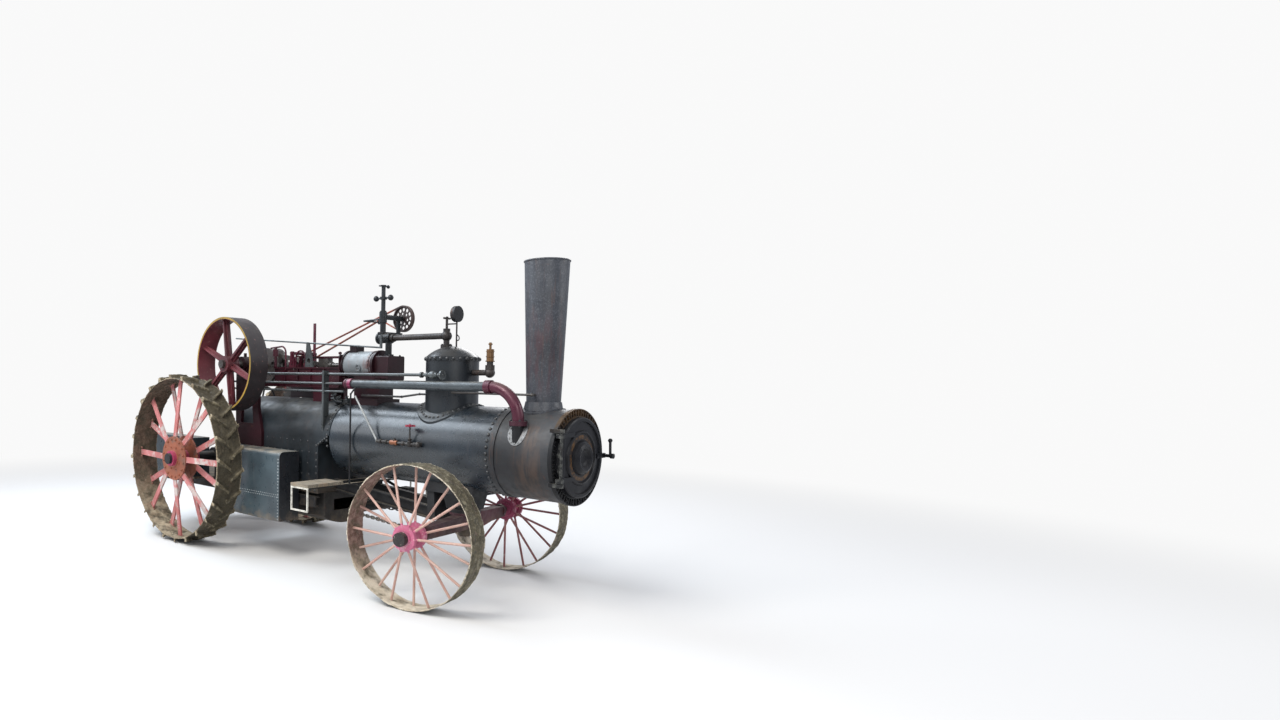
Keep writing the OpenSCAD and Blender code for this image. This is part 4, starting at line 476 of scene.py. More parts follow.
# Exhaust pipe: red elbows at its ends, a pink collar, black below the flange and beside the cylinder
elbows = any_of(rises(along_x, 2.011, 2.009), rises(along_x, 3.489, 3.491))
pink_collar = all_of(rises(along_x, 1.968, 1.972), rises(along_x, 2.011, 2.009), rises(along_z, 1.640, 1.642))
dark_foot = rises(along_z, 1.441, 1.439)
flange = rises(along_z, 1.403, 1.402)
cylinder_end = all_of(rises(along_x, 2.2, 2.19), rises(along_z, 1.636, 1.632))
painted("pipe", (0.066, 0.080, 0.090), (0.028, 0.033, 0.038), rust=0.10, dust=0.25, rough=(0.24, 0.46),
        metal=0.25,
        masks=[(elbows, (0.085, 0.012, 0.030)), (pink_collar, (0.24, 0.016, 0.075)),
               (dark_foot, (0.060, 0.012, 0.024)), (flange, (0.012, 0.012, 0.014)),
               (cylinder_end, (0.016, 0.016, 0.018))])
painted("rods", (0.105, 0.118, 0.122), (0.040, 0.043, 0.044), rust=0.22, dust=0.15, rough=(0.24, 0.46),
        metal=0.5)

# Fittings of the dome: a brass safety valve, a black gauge
safety_valve = all_of(rises(along_x, 3.135, 3.14), rises(along_z, 1.888, 1.894))
gauge_case = all_of(rises(along_x, 2.90, 2.91), rises(along_z, 2.222, 2.226))
painted("fittings", (0.052, 0.043, 0.040), (0.018, 0.015, 0.014), rust=0.35, dust=0.15, rough=(0.32, 0.56),
        metal=0.3, masks=[(safety_valve, (0.20, 0.105, 0.04)), (gauge_case, (0.010, 0.012, 0.015))])

# Feed pipe: a pale slanting part, a copper valve and a red handwheel
outside = rises(along_y, -0.27, -0.28)
pale_part = all_of(rises(along_x, 2.40, 2.39), outside)
copper_valve = all_of(band(along_x, 2.56, 2.64), outside)
red_wheel = all_of(band(along_x, 2.70, 2.86), outside, rises(along_z, 1.335, 1.345))
painted("feed", (0.085, 0.078, 0.074), (0.032, 0.029, 0.028), rust=0.35, dust=0.12, rough=(0.3, 0.55),
        metal=0.4,
        masks=[(pale_part, (0.42, 0.44, 0.44)), (copper_valve, (0.36, 0.13, 0.06)),
               (red_wheel, (0.36, 0.025, 0.065))])

# Frame, gears, chains and boxes
painted("iron", (0.050, 0.046, 0.043), (0.018, 0.016, 0.015), rust=0.45, dust=0.2, rough=(0.4, 0.7),
        metal=0.35)
painted("chain", (0.16, 0.145, 0.13), (0.06, 0.052, 0.045), rust=0.4, dust=0.35, rough=(0.35, 0.65),
        metal=0.4)
painted("frame", (0.026, 0.027, 0.030), (0.009, 0.009, 0.010), rust=0.26, dust=0.30, rough=(0.42, 0.7),
        shine=0.3, mud_z=(0.36, 0.62, 0.45))
painted("axle", (0.075, 0.02, 0.03), (0.035, 0.012, 0.016), rust=0.35, dust=0.3, rough=(0.5, 0.75),
        mud_z=(0.3, 0.62, 0.6))
# the tank's front face is darkened as painted shade
front_face_painted_shade = rises(along_x, 1.3735, 1.3750)
painted("tank", (0.060, 0.086, 0.100), (0.026, 0.037, 0.046), rust=0.12, dust=0.8, rough=(0.24, 0.46),
        mud_z=(0.34, 0.46, 0.45), streak=0.1, masks=[(front_face_painted_shade, (0.012, 0.014, 0.018))])
under_boards = rises(along_z, 0.7722, 0.7712)
stirrup = all_of(under_boards, rises(off_centre, 0.7885, 0.7895))
wood("step", (0.30, 0.26, 0.20),
     masks=[(under_boards, (0.03, 0.031, 0.033)), (stirrup, (0.66, 0.64, 0.57))])
wood("deck", (0.17, 0.135, 0.10))

# Hubs and spokes; the left front wheel's tones are the right's, darkened as painted shade
REAR_PLATE_R = 0.229
FRONT_FLANGE_R = 0.112
CAP_R = 0.0665
CAP_START = 0.047
PINK_BOSS = (0.42, 0.035, 0.11)
CAP_BLACK = (0.016, 0.014, 0.015)
FRONT_TONES_LEFT_SHADED = {
    "right": {"spoke": (0.60, 0.41, 0.34), "dark": (0.44, 0.25, 0.21), "chip": (0.66, 0.58, 0.50),
              "flange": (0.66, 0.17, 0.30), "pale": (0.74, 0.44, 0.52)},
    # left: darker copies of the right wheel's tones, as painted shade
    "left": {"spoke": (0.40, 0.18, 0.17), "dark": (0.24, 0.085, 0.09), "chip": (0.46, 0.33, 0.29),
             "flange": (0.36, 0.060, 0.130), "pale": (0.42, 0.16, 0.22)},
}


def paint_rear_hub(side, sign):
    centre = place(0, sign * REAR_Y, REAR_Z)
    plate = within(centre, ACROSS, REAR_PLATE_R)
    painted("rear_hub_" + side, (0.56, 0.20, 0.20), (0.38, 0.115, 0.105), rust=0.16, dust=0.2,
            rough=(0.5, 0.75),
            masks=[(patches(5.0, 8, 0.75, 0.50, 0.60, most=0.9, distort=0.5), (0.62, 0.56, 0.52)),
                   (plate, (0.30, 0.090, 0.042)),
                   (all_of(plate, patches(14.0, 7, 0.7, 0.50, 0.66, most=0.75)), (0.17, 0.11, 0.085)),
                   (within(centre, ACROSS, REAR_BOSS_R + 0.006), PINK_BOSS)])


def paint_front_hub(side, sign):
    centre = front_wheel_place(sign * FRONT_Y)
    tones = FRONT_TONES_LEFT_SHADED[side]
    flange_disc = within(centre, FRONT_AXLE, FRONT_FLANGE_R)
    cap_ends = sorted((sign * CAP_START, sign * 0.2))
    painted("front_hub_" + side, tones["spoke"], tones["dark"], rust=0.14, dust=0.2, rough=(0.45, 0.7),
            chips=0.5, chip_color=tones["chip"],
            masks=[(flange_disc, tones["flange"]),
                   (all_of(flange_disc, patches(9.0, 7, 0.7, 0.52, 0.62, most=0.8)), tones["pale"]),
                   (within(centre, FRONT_AXLE, CAP_R, *cap_ends), CAP_BLACK)])


SIDES = (("right", -1), ("left", 1))
for side, sign in SIDES:
    paint_rear_hub(side, sign)
    paint_front_hub(side, sign)

# Small pieces that are made here
# Exhaust saddle and its rivets: dark paint above, and low down a pale painted sky reflection
painted("plate_painted_reflection", (0.36, 0.37, 0.38), (0.16, 0.165, 0.17), rust=0.2, dust=0.2, rough=(0.3, 0.55),
        masks=[(rises(along_z, 1.345, 1.400), (0.05, 0.052, 0.055))])
painted("seam", (0.34, 0.37, 0.38), (0.16, 0.18, 0.19), rust=0.25, dust=0.3, rough=(0.35, 0.6))
painted("valve_red", (0.42, 0.03, 0.06), (0.18, 0.015, 0.03), rust=0.2, dust=0.1, rough=(0.3, 0.5),
        chips=0.3)
painted("dial", (0.66, 0.64, 0.58), (0.52, 0.49, 0.42), rust=0.02, dust=0.0, rough=(0.2, 0.3))
painted("dark_rivet", (0.030, 0.034, 0.038), (0.016, 0.017, 0.019), rust=0.25, dust=0.25,
        rough=(0.25, 0.42))
painted("rusty_bolt", (0.26, 0.125, 0.085), (0.13, 0.06, 0.045), rust=0.3, dust=0.4, rough=(0.55, 0.8))

# Material of each CAD node that shows; the rims are replaced further down
CAD_MATERIALS = {
    "boiler": ["boiler_barrel"],
    "wrapper": ["firebox_shell"],
    "pan": ["ash_pan"],
    "smokebox": ["smokebox_shell"],
    "ring": ["smokebox_ring"],
    "door": ["smokebox_door"],
    "chimney": ["chimney"],
    "dome": ["steam_dome"],
    "fittings": ["dome_fittings"],
    "governor": ["governor"],
    "pulley": ["governor_pulley"],
    "belt": ["governor_belt"],
    "lagging": ["cylinder_jacket"],
    "maroon": ["engine_bed"],
    "dark_maroon": ["cylinder_block", "bearing_brackets"],
    "gear_red": ["valve_gear"],
    "steel": ["crosshead", "connecting_rod", "crankshaft"],
    "flywheel": ["flywheel"],
    "iron": ["fire_door", "intermediate_gear", "master_gear"],
    "pipe": ["exhaust_pipe"],
    "rods": ["side_rods"],
    "feed": ["feed_pipe"],
    "tank": ["side_tank", "rear_bunkers"],
    "frame": ["rear_frame", "front_frame", "steering_gear"],
    "deck": ["platform"],
    "step": ["side_steps"],
    "axle": ["front_axle"],
    "chain": ["steering_chain_right", "steering_chain_left"],
    "rear_hub_right": ["rear_hub_right"],
    "rear_hub_left": ["rear_hub_left"],
    "front_hub_right": ["front_hub_right"],
    "front_hub_left": ["front_hub_left"],
}
for material, names in CAD_MATERIALS.items():
    for node in names:
        nodes[node].data.materials.clear()
        nodes[node].data.materials.append(materials[material])


# Mesh helpers
def add(name, shape, material, body):
    """Make a piece of a bmesh or a mesh, with one of the materials; it rides on a body."""
    mesh = shape
    if isinstance(shape, bmesh.types.BMesh):
        mesh = bpy.data.meshes.new(name)
        shape.to_mesh(mesh)
        shape.free()
    piece = bpy.data.objects.new(name, mesh)
    bpy.context.scene.collection.objects.link(piece)
    mesh.materials.clear()
    mesh.materials.append(materials[material])
    for face in mesh.polygons:
        face.use_smooth = True
    mesh.set_sharp_from_angle(angle=math.radians(40))
    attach(piece, body)
    return piece


def frame_for(normal):
    """Three axes at right angles, the last one along the normal."""
    n = Vector(normal).normalized()
    other = Vector(UP) if abs(n.z) < 0.9 else Vector(FORWARD)
    u = n.cross(other).normalized()
    return u, n.cross(u), n


def turns(count, start=0.0):
    """Angles of count equal steps of a full turn, the first one at start steps."""
    return [2 * math.pi * (i + start) / count for i in range(count)]


def circle(centre, u, v, r, sides):
    return [centre + (u * math.cos(a) + v * math.sin(a)) * r for a in turns(sides)]


def skin(bm, rings, foot=True):
    """Faces between rings of points, closed at the last ring and, with foot, at the first."""
    loops = [[bm.verts.new(point) for point in ring] for ring in rings]
    if foot:
        bm.faces.new(loops[0][::-1])
    for a, b in zip(loops, loops[1:]):
        for i in range(len(a)):
            j = (i + 1) % len(a)
            bm.faces.new((a[i], a[j], b[j], b[i]))
    bm.faces.new(loops[-1])


def turned(bm, at, axis, profile, sides=20, foot=True):
    """A turned shape: the profile lists (distance along the axis, radius)."""
    u, v, n = frame_for(axis)
    skin(bm, [circle(Vector(at) + n * h, u, v, r, sides) for h, r in profile], foot)


def rivet(bm, at, normal, r, height=None):
    """A low round head on a surface, with its foot 2 mm inside."""
    height = height or r * 0.7
    dome = [(-0.002, 1.0), (0.38 * height, 0.92), (0.75 * height, 0.66), (0.97 * height, 0.28)]
    turned(bm, at, normal, [(h, r * share) for h, share in dome], 10, foot=False)


def hexnut(bm, at, normal, r, height, stud=0.0):
    """A hexagon nut and, where stud isn't nothing, the end of its stud."""
    parts = [(r, -0.001, height, 6)]
    if stud:
        parts.append((r * 0.5, height - 0.001, height + stud, 10))
    for part_r, low, high, sides in parts:
        chamfered = [(low, part_r), (high - part_r * 0.12, part_r), (high, part_r * 0.88)]
        turned(bm, at, normal, chamfered, sides, foot=False)


def collar(half, r, chamfer, drop):
    """Profile of a collar: half its length, its radius, and how far its chamfered ends reach and drop."""
    return [(-half, r - drop), (-half + chamfer, r), (half - chamfer, r), (half, r - drop)]


def union(bm, at, axis, r, length):
    """A pipe union: a hexagon nut between two collars."""
    end, nut, neck_r = length / 2, length * 0.22, r * 0.86
    turned(bm, at, axis, [(-end, r * 0.8), (-end + 0.002, neck_r), (-nut, neck_r)])
    turned(bm, at, axis, collar(length * 0.25, r, length * 0.03, r * 0.06), 6)
    turned(bm, at, axis, [(nut, neck_r), (end - 0.002, neck_r), (end, r * 0.8)])


def tube(bm, points, r, sides=10):
    """A round bar or small pipe along points."""
    points = [Vector(point) for point in points]
    rings = []
    side = None
    for k, point in enumerate(points):
        ahead = (points[min(k + 1, len(points) - 1)] - points[max(k - 1, 0)]).normalized()
        if side is None:
            side = frame_for(ahead)[0]
        side = (side - ahead * side.dot(ahead)).normalized()
        rings.append(circle(point, side, ahead.cross(side), r, sides))
    skin(bm, rings)


def handwheel(bm, at, axis, r, lobes, thick):
    """A small lobed handwheel with its spokes, boss and nut."""
    u, v, n = frame_for(axis)
    at = Vector(at)

    def spoke_end(a, reach):
        return at + (u * math.cos(a) + v * math.sin(a)) * reach

    rim = [spoke_end(a, r * (1 + 0.10 * math.cos(lobes * a))) for a in turns(36)]
    tube(bm, rim + rim[:1], thick, 8)
    for a in turns(lobes):
        tube(bm, [at, spoke_end(a, r)], thick * 0.9, 8)
    turned(bm, at, axis, collar(thick * 1.6, r * 0.28, thick * 0.6, r * 0.06), 12)
    hexnut(bm, at + n * thick * 1.4, axis, r * 0.2, thick * 1.2, thick)


# Boiler
def rivet_row(bm, x, r, pitch, size, start=0.0, end=360.0):
    """Rivets around the boiler at x; a row that isn't a full turn has one at each end."""
    gaps = max(2, round(math.radians(end - start) * r / pitch))
    for i in range(gaps if end - start == 360 else gaps + 1):
        a = math.radians(start + (end - start) * i / gaps)
        out = Vector((0, math.cos(a), math.sin(a)))
        rivet(bm, place(x, 0, BOILER_Z) + out * r, out, size)


def side_sheet_rivets(bm, sign):
    """One side of the firebox: its sloping and upright front edge, the stays and the bottom ring."""
    y = sign * WRAP_R
    out = (0, sign, 0)
    edge_x, edge_rivet, bottom_rivet = 1.575, 0.013, 0.012
    stay_pitch, stay_r, stay_height = 0.105, 0.009, 0.006
    for i in range(6):
        rivet(bm, place(edge_x + 0.001 + 0.029 * i, y, 1.095 + 0.018 * i), out, edge_rivet)
    for z in np.arange(0.70, 1.08, 0.064):
        rivet(bm, place(edge_x, y, z), out, edge_rivet)
    for row, z in enumerate(np.arange(0.71, 1.20, stay_pitch)):
        for x in np.arange(0.40, 1.53, stay_pitch):
            rivet(bm, place(x + 0.02 * (row % 2), y, z), out, stay_r, stay_height)
    for x in np.arange(0.36, 1.56, 0.06):
        rivet(bm, place(x, y, 0.665), out, bottom_rivet)


def dome_rivets(bm):
    """The ring below the dome's lid, and the saddle on the barrel's curve."""
    lid_rivet, saddle_rivet = 0.015, 0.013
    saddle_r, saddle_lift = 0.262, 0.011
    for a in turns(26, 0.5):
        out = Vector((math.cos(a), math.sin(a), 0))
        rivet(bm, place(DOME_X, 0, DOME_TOP - 0.017) + out * (DOME_R + 0.007), out, lid_rivet)
    for a in turns(38):
        y = saddle_r * math.sin(a)
        z = math.sqrt((BARREL_R + saddle_lift) ** 2 - y * y)
        rivet(bm, place(DOME_X + saddle_r * math.cos(a), y, BOILER_Z + z), (0, y, z), saddle_rivet)


def boiler_rivets():
    bm = bmesh.new()
    rivet_row(bm, LAP_X - 0.030, WRAP_R, pitch=0.052, size=0.013, start=-12, end=192)
    rivet_row(bm, SEAM_X - 0.026, BARREL_R, pitch=0.050, size=0.015)
    for sign in (-1, 1):
        side_sheet_rivets(bm, sign)
    dome_rivets(bm)
    add("boiler_rivets", bm, "dark_rivet", "root")


def front_studs():
    """Nuts around the smokebox front."""
    bm = bmesh.new()
    circle_r, nut_r, nut_height, stud = 0.337, 0.012, 0.010, 0.004
    for a in turns(24, 0.5):
        out = Vector((0, math.cos(a), math.sin(a)))
        hexnut(bm, place(DOOR_X - 0.012, 0, BOILER_Z) + out * circle_r, FORWARD, nut_r, nut_height, stud)
    add("front_studs", bm, "ring", "root")


def backhead_stays():
    """Heads of the stays in the backhead, below and above the fire door."""
    bm = bmesh.new()
    for y in np.arange(-0.25, 0.26, 0.10):
        for z in (0.80, 0.90, 1.33, 1.42):
            if y * y + (z - BOILER_Z) ** 2 < 0.105 or z < BOILER_Z:
                rivet(bm, place(BACK_X, y, z), BACKWARD, 0.010, 0.005)
    add("backhead_stays", bm, "dark_rivet", "root")


def boiler_cocks():
    """Three small valves on the boiler behind the hanger, with the pipe that joins them."""
    bm = bmesh.new()
    stand = ((-0.006, 0.030), (0.010, 0.030), (0.013, 0.015), (0.040, 0.015), (0.043, 0.024), (0.074, 0.024),
             (0.078, 0.013), (0.092, 0.013), (0.094, 0.007), (0.104, 0.007))
    for x, y, size in ((1.655, -0.165, 1.0), (1.735, -0.180, 0.85), (1.800, -0.150, 0.7)):
        out = Vector((0, y, math.sqrt(WRAP_R ** 2 - y * y))).normalized()
        base = place(x, 0, BOILER_Z) + out * WRAP_R
        turned(bm, base, out, [(h * size, r * size) for h, r in stand], 16)
        turned(bm, base + out * 0.058 * size, FORWARD,
               collar(0.040 * size, 0.018 * size, 0.004 * size, 0.006 * size), 6)
        handwheel(bm, base + out * 0.104 * size, out, 0.026 * size, 4, 0.004 * size)
    tube(bm, [place(1.655, -0.250, BOILER_Z + 0.372), place(1.735, -0.262, BOILER_Z + 0.345),
              place(1.800, -0.240, BOILER_Z + 0.340)], 0.009)
    add("boiler_cocks", bm, "governor", "root")


# Exhaust pipe's entry
def on_smokebox(dx, around, lift):
    """A point of the smokebox, from the exhaust's axis along x and around the shell."""
    a = math.asin(-EXHAUST_Y / SMOKE_R) + around / SMOKE_R
    r = SMOKE_R + lift
    return place(EXHAUST_DROP_X + dx, -math.sin(a) * r, BOILER_Z + math.cos(a) * r)


def exhaust_saddle():
    """Plate around the exhaust's entry, bent to the smokebox; each size is (along x, around the shell)."""
    bm = bmesh.new()
    inner, outer, lift = (0.042, 0.060), (0.080, 0.112), 0.005
    rows = [[bm.verts.new(on_smokebox(size[0] * math.cos(a), size[1] * math.sin(a), height))
             for size, height in ((inner, lift), (outer, lift), (outer, -0.002))]
            for a in turns(48)]
    for a, b in zip(rows, rows[1:] + rows[:1]):
        for k in (0, 1):
            bm.faces.new((a[k], a[k + 1], b[k + 1], b[k]))
    add("exhaust_saddle", bm, "plate_painted_reflection", "root")
    bm = bmesh.new()
    row = (0.068, 0.098)
    for a in turns(14, 0.5):
        at = on_smokebox(row[0] * math.cos(a), row[1] * math.sin(a), lift)
        rivet(bm, at, at - place(EXHAUST_DROP_X + row[0] * math.cos(a), 0, BOILER_Z), 0.009)
    add("exhaust_saddle_rivets", bm, "plate_painted_reflection", "root")


def flange_bolts():
    """Bolts of the exhaust's flange, with their nuts below, and of the stop valve on the dome."""
    bm = bmesh.new()
    exhaust_r, valve_r = 0.056, 0.041
    flange_top, flange_under, valve_z = EXHAUST_Z - 0.250, EXHAUST_Z - 0.284, 2.037
    for a in turns(4, 0.5):
        x = EXHAUST_DROP_X + exhaust_r * math.cos(a)
        y = EXHAUST_Y + exhaust_r * math.sin(a)
        hexnut(bm, place(x, y, flange_top), UP, 0.009, 0.009, 0.005)
        hexnut(bm, place(x, y, flange_under), (0, 0, -1), 0.009, 0.008, 0.002)
    for a in turns(6):
        at = place(DOME_X - 0.070 + valve_r * math.cos(a), valve_r * math.sin(a), valve_z)
        hexnut(bm, at, UP, 0.006, 0.005, 0.003)
    add("flange_bolts", bm, "dark_rivet", "root")


# Rear wheels
def rear_plate_bolts(side, sign):
    """Spoke bolts and plate bolts on the hub's outer plate, and the collar of the boss."""
    bm = bmesh.new()
    face = sign * (REAR_Y - 0.026)
    circles = ((16, 0.197, 0.012, 0.008, 0.006), (8, 0.120, 0.010, 0.007, 0.004))
    for count, circle_r, nut_r, height, stud in circles:
        for a in turns(count, 0.5):
            at = place(circle_r * math.cos(a), face, REAR_Z + circle_r * math.sin(a))
            hexnut(bm, at, (0, sign, 0), nut_r, height, stud)
    turned(bm, place(0, face, REAR_Z), (0, sign, 0),
           [(-0.001, REAR_BOSS_R + 0.018), (0.006, REAR_BOSS_R + 0.016), (0.010, REAR_BOSS_R + 0.002)], 36)
    add("rear_plate_bolts_" + side, bm, "rear_hub_" + side, "rear_" + side)


def rim_bolts(side, sign):
    """Two bolts beside each spoke's foot, inside the rim."""
    bm = bmesh.new()
    rows, aside = (0.112, 0.198), 0.046
    foot_r = math.sqrt((REAR_R - RIM_THICK - 0.0005) ** 2 - aside ** 2)
    for i, a in enumerate(turns(16)):
        out = Vector((math.cos(a), 0, -math.sin(a)))
        along_rim = Vector((math.sin(a), 0, math.cos(a)))
        foot = place(0, sign * (REAR_Y - rows[i % 2]), REAR_Z) + out * foot_r
        for k in (-aside, aside):
            rivet(bm, foot + along_rim * k, -out, 0.014, 0.009)
    add("rim_bolts_" + side, bm, "rusty_bolt", "rear_" + side)


# Pipes and rods
def feed_unions():
    """Unions of the injector's line, and the bodies of its two valves."""
    bm = bmesh.new()
    for x in (2.438, 2.508, 2.708, 2.838):
        union(bm, place(x, FEED_Y, FEED_Z), FORWARD, 0.021, 0.030)
    injector_valve = [(-0.024, 0.014), (-0.020, 0.020), (0.018, 0.020), (0.026, 0.013), (0.030, 0.016),
                      (0.044, 0.016), (0.048, 0.009)]
    check_valve = [(-0.030, 0.010), (-0.026, 0.016), (0.022, 0.016), (0.026, 0.011), (0.036, 0.011),
                   (0.038, 0.008)]
    turned(bm, place(INJECTOR_VALVE_X, FEED_Y, FEED_Z), UP, injector_valve)
    turned(bm, place(CHECK_VALVE_X, FEED_Y, FEED_Z), UP, check_valve, 6)
    add("feed_unions", bm, "iron", "root")


def injector_handwheel():
    """Lobes and nut of the red handwheel."""
    bm = bmesh.new()
    lobe_reach, lobe_z = 0.036, 1.351
    lobe = [(-0.008, 0.008), (-0.006, 0.0125), (0.005, 0.0125), (0.007, 0.008)]
    for a in turns(3):
        x = INJECTOR_VALVE_X + lobe_reach * math.cos(a + 0.4)
        y = FEED_Y + lobe_reach * math.sin(a + 0.4)
        turned(bm, place(x, y, lobe_z), UP, lobe, 16)
    hexnut(bm, place(INJECTOR_VALVE_X, FEED_Y, lobe_z + 0.007), UP, 0.009, 0.005, 0.004)
    add("injector_handwheel", bm, "valve_red", "root")


def rod_handwheel():
    """Lobed handwheel of the valve on the upper rod."""
    bm = bmesh.new()
    handwheel(bm, place(3.056, -0.300, 1.775), FORWARD, 0.036, 5, 0.005)
    add("rod_handwheel", bm, "rods", "root")


# Fittings of the dome
def safety_valve_collars():
    bm = bmesh.new()
    for z, r in ((1.894, 0.038), (1.930, 0.035), (1.972, 0.034), (1.986, 0.031)):
        turned(bm, place(SAFETY_X, 0, z), UP, collar(0.006, r, 0.003, 0.006), 28)
    cap = [(-0.012, 0.011), (-0.008, 0.017), (0.0, 0.017), (0.005, 0.011)]
    turned(bm, place(SAFETY_X, 0, 2.036), UP, cap)
    add("safety_valve_collars", bm, "fittings", "root")


def gauge():
    """Gauge: a plain dial towards the driver, its bezel, marks and pointer, and the curled pipe below."""
    centre = place(GAUGE_X, 0, GAUGE_Z)
    dial_r, bezel_r = 0.058, 0.062
    bm = bmesh.new()
    turned(bm, centre + Vector((0.0005, 0, 0)), BACKWARD, [(0.0, dial_r), (0.0012, dial_r)], 48)
    add("gauge_dial", bm, "dial", "root")

    bm = bmesh.new()
    y_axis, z_axis = Vector(ACROSS), Vector(UP)
    bezel = circle(centre + Vector((-0.003, 0, 0)), y_axis, z_axis, bezel_r, 40)
    tube(bm, bezel + bezel[:1], 0.005, 8)
    for i in range(13):
        a = math.radians(225 - 270 * i / 12)
        out = Vector((0, math.cos(a), math.sin(a)))
        mark = centre + Vector((-0.0008, 0, 0))
        tube(bm, [mark + out * (0.043 if i % 3 else 0.038), mark + out * 0.051], 0.0011, 6)
    tube(bm, [centre + Vector((-0.002, -0.010, -0.008)), centre + Vector((-0.002, 0.036, 0.022))], 0.0014, 6)
    turned(bm, centre, BACKWARD, [(0.0, 0.006), (0.004, 0.006), (0.005, 0.004)], 16)
    curl = []
    for share in np.linspace(0.0, 1.0, 22):
        a = share * 2 * math.pi
        z = 2.09 + 0.022 * math.cos(a) + 0.006 * share
        curl.append(place(DOME_X + 0.038, 0.016 + 0.020 * math.sin(a), z))
    tube(bm, curl, 0.0045, 8)
    add("gauge_bezel", bm, "governor", "root")


# Engine
def lagging_bands():
    """Bands around the cylinder's lagging, with their screws."""
    bm = bmesh.new()
    band_r = JACKET_R + 0.0015
    for x in (1.680, 2.025):
        tube(bm, [place(x, band_r * math.sin(a), ENGINE_Z + band_r * math.cos(a))
                  for a in np.radians(np.linspace(-8, -150, 30))], 0.0035, 6)
        for a in np.radians(np.arange(-15, -150, -15)):
            out = Vector((0, math.sin(a), math.cos(a)))
            rivet(bm, place(x - 0.012, 0, ENGINE_Z) + out * JACKET_R, out, 0.005)
    add("lagging_bands", bm, "dark_maroon", "root")


def engine_nuts():
    """Four nuts on the cylinder block."""
    bm = bmesh.new()
    for y in (-0.072, 0.072):
        for x in (2.105, 2.235):
            hexnut(bm, place(x, y, 1.9465), UP, 0.010, 0.008, 0.005)
    add("engine_nuts", bm, "dark_rivet", "root")


# Side tank
def tank_rivets():
    """The upright seam and the double row along the side tank."""
    bm = bmesh.new()
    out = (0, -1, 0)
    pitch, seam_rivet, row_rivet = 0.030, 0.008, 0.006
    for z in np.arange(0.39, 0.97, pitch):
        rivet(bm, place(1.355, TANK_Y, z), out, seam_rivet)
    for x in np.arange(0.35, 1.34, pitch):
        rivet(bm, place(x, TANK_Y, 0.60), out, row_rivet)
        rivet(bm, place(x + pitch / 2, TANK_Y, 0.622), out, row_rivet)
    add("tank_rivets", bm, "seam", "root")


boiler_rivets()
front_studs()
exhaust_saddle()
flange_bolts()
for side, sign in SIDES:
    rear_plate_bolts(side, sign)
    rim_bolts(side, sign)
feed_unions()
injector_handwheel()
safety_valve_collars()
gauge()
boiler_cocks()
rod_handwheel()
lagging_bands()
engine_nuts()
backhead_stays()
tank_rivets()


# Caked rims, which replace the plain ones of the frame
def remeshed(source, name, voxel):
    """A copy of a CAD mesh, cut into fine even faces."""
    ob = bpy.data.objects.new(name, source.data.copy())
    bpy.context.scene.collection.objects.link(ob)
    modifier = ob.modifiers.new("remesh", "REMESH")
    modifier.mode = "VOXEL"
    modifier.voxel_size = voxel
    bpy.context.view_layer.update()
    mesh = bpy.data.meshes.new_from_object(ob.evaluated_get(bpy.context.evaluated_depsgraph_get()))
    bpy.data.objects.remove(ob)
    return mesh


def read_vectors(mesh, kind):
    values = np.zeros(len(mesh.vertices) * 3, np.float32)
    mesh.vertices.foreach_get(kind, values)
    return values.reshape(-1, 3)


def caked(wheel, side, centre, axis, width, r_in, r_out, voxel, depth, seed):
    """A rim of the frame, roughened with mud, but never past the rim's own width and radii."""
    mesh = remeshed(nodes[wheel + "_rim_" + side], wheel + "_mud_rim_" + side, voxel)
    points = read_vectors(mesh, "co")
    normals = read_vectors(mesh, "normal")
    centre = np.array(centre)
    axis = np.array(axis)
    places = [Vector(point) for point in points.tolist()]
    lumps = np.array([noise.fractal(point * 9 + Vector((seed, 0, 0)), 0.9, 2.1, 5) for point in places])
    crumbs = np.array([noise.noise(point * 42 + Vector((0, seed, 0))) for point in places])
    push = depth * (0.7 * lumps + 0.35 * crumbs - 0.35)

    # the inner face has less mud
    offset = points - centre
    r = np.linalg.norm(offset - np.outer(offset @ axis, axis), axis=1)
    push[r < (r_in + 0.004)] *= 0.45
    points = points + normals * push[:, None]

    # back inside the rim's width and radii
    offset = points - centre
    radial = offset - np.outer(offset @ axis, axis)
    along = np.clip(offset @ axis, -width / 2, width / 2)
    r = np.linalg.norm(radial, axis=1)
    radial *= (np.clip(r, r_in - 0.002, r_out) / r)[:, None]
    points = centre + np.outer(along, axis) + radial
    mesh.vertices.foreach_set("co", points.astype(np.float32).ravel())
    mesh.update()
    piece = add(wheel + "_mud_rim_" + side, mesh, wheel + "_mud_" + side, wheel + "_" + side)
    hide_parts(wheel + "_rim_" + side)


for side, sign in SIDES:
    inner_r = REAR_R - RIM_THICK
    centre = place(0, sign * (REAR_Y - REAR_W / 2), REAR_Z)
    muddy_rim("rear_mud_" + side, inner_r, centre, ACROSS, REAR_W / 2,
              tread=(0.115, 0.094, 0.056), crumb=(0.27, 0.235, 0.155),
              inner_tones=((0.075, 0.048, 0.032), (0.14, 0.092, 0.062)),
              dry_tones=((0.24, 0.185, 0.12), (0.44, 0.37, 0.26)), lug_base=REAR_R)
    caked("rear", side, centre, ACROSS, REAR_W, inner_r, REAR_R + LUG_H,
          voxel=0.008, depth=0.012, seed=3.0 + sign)

    inner_r = FRONT_R - RIM_THICK
    centre = front_wheel_place(sign * (FRONT_Y - FRONT_W / 2))
    muddy_rim("front_mud_" + side, inner_r, centre, FRONT_AXLE, FRONT_W / 2,
              tread=(0.100, 0.084, 0.050), crumb=(0.33, 0.295, 0.20),
              inner_tones=((0.17, 0.095, 0.075), (0.33, 0.21, 0.175)),
              dry_tones=((0.46, 0.39, 0.28), (0.74, 0.67, 0.54)))
    caked("front", side, centre, FRONT_AXLE, FRONT_W, inner_r, FRONT_R,
          voxel=0.007, depth=0.010, seed=9.0 + sign)


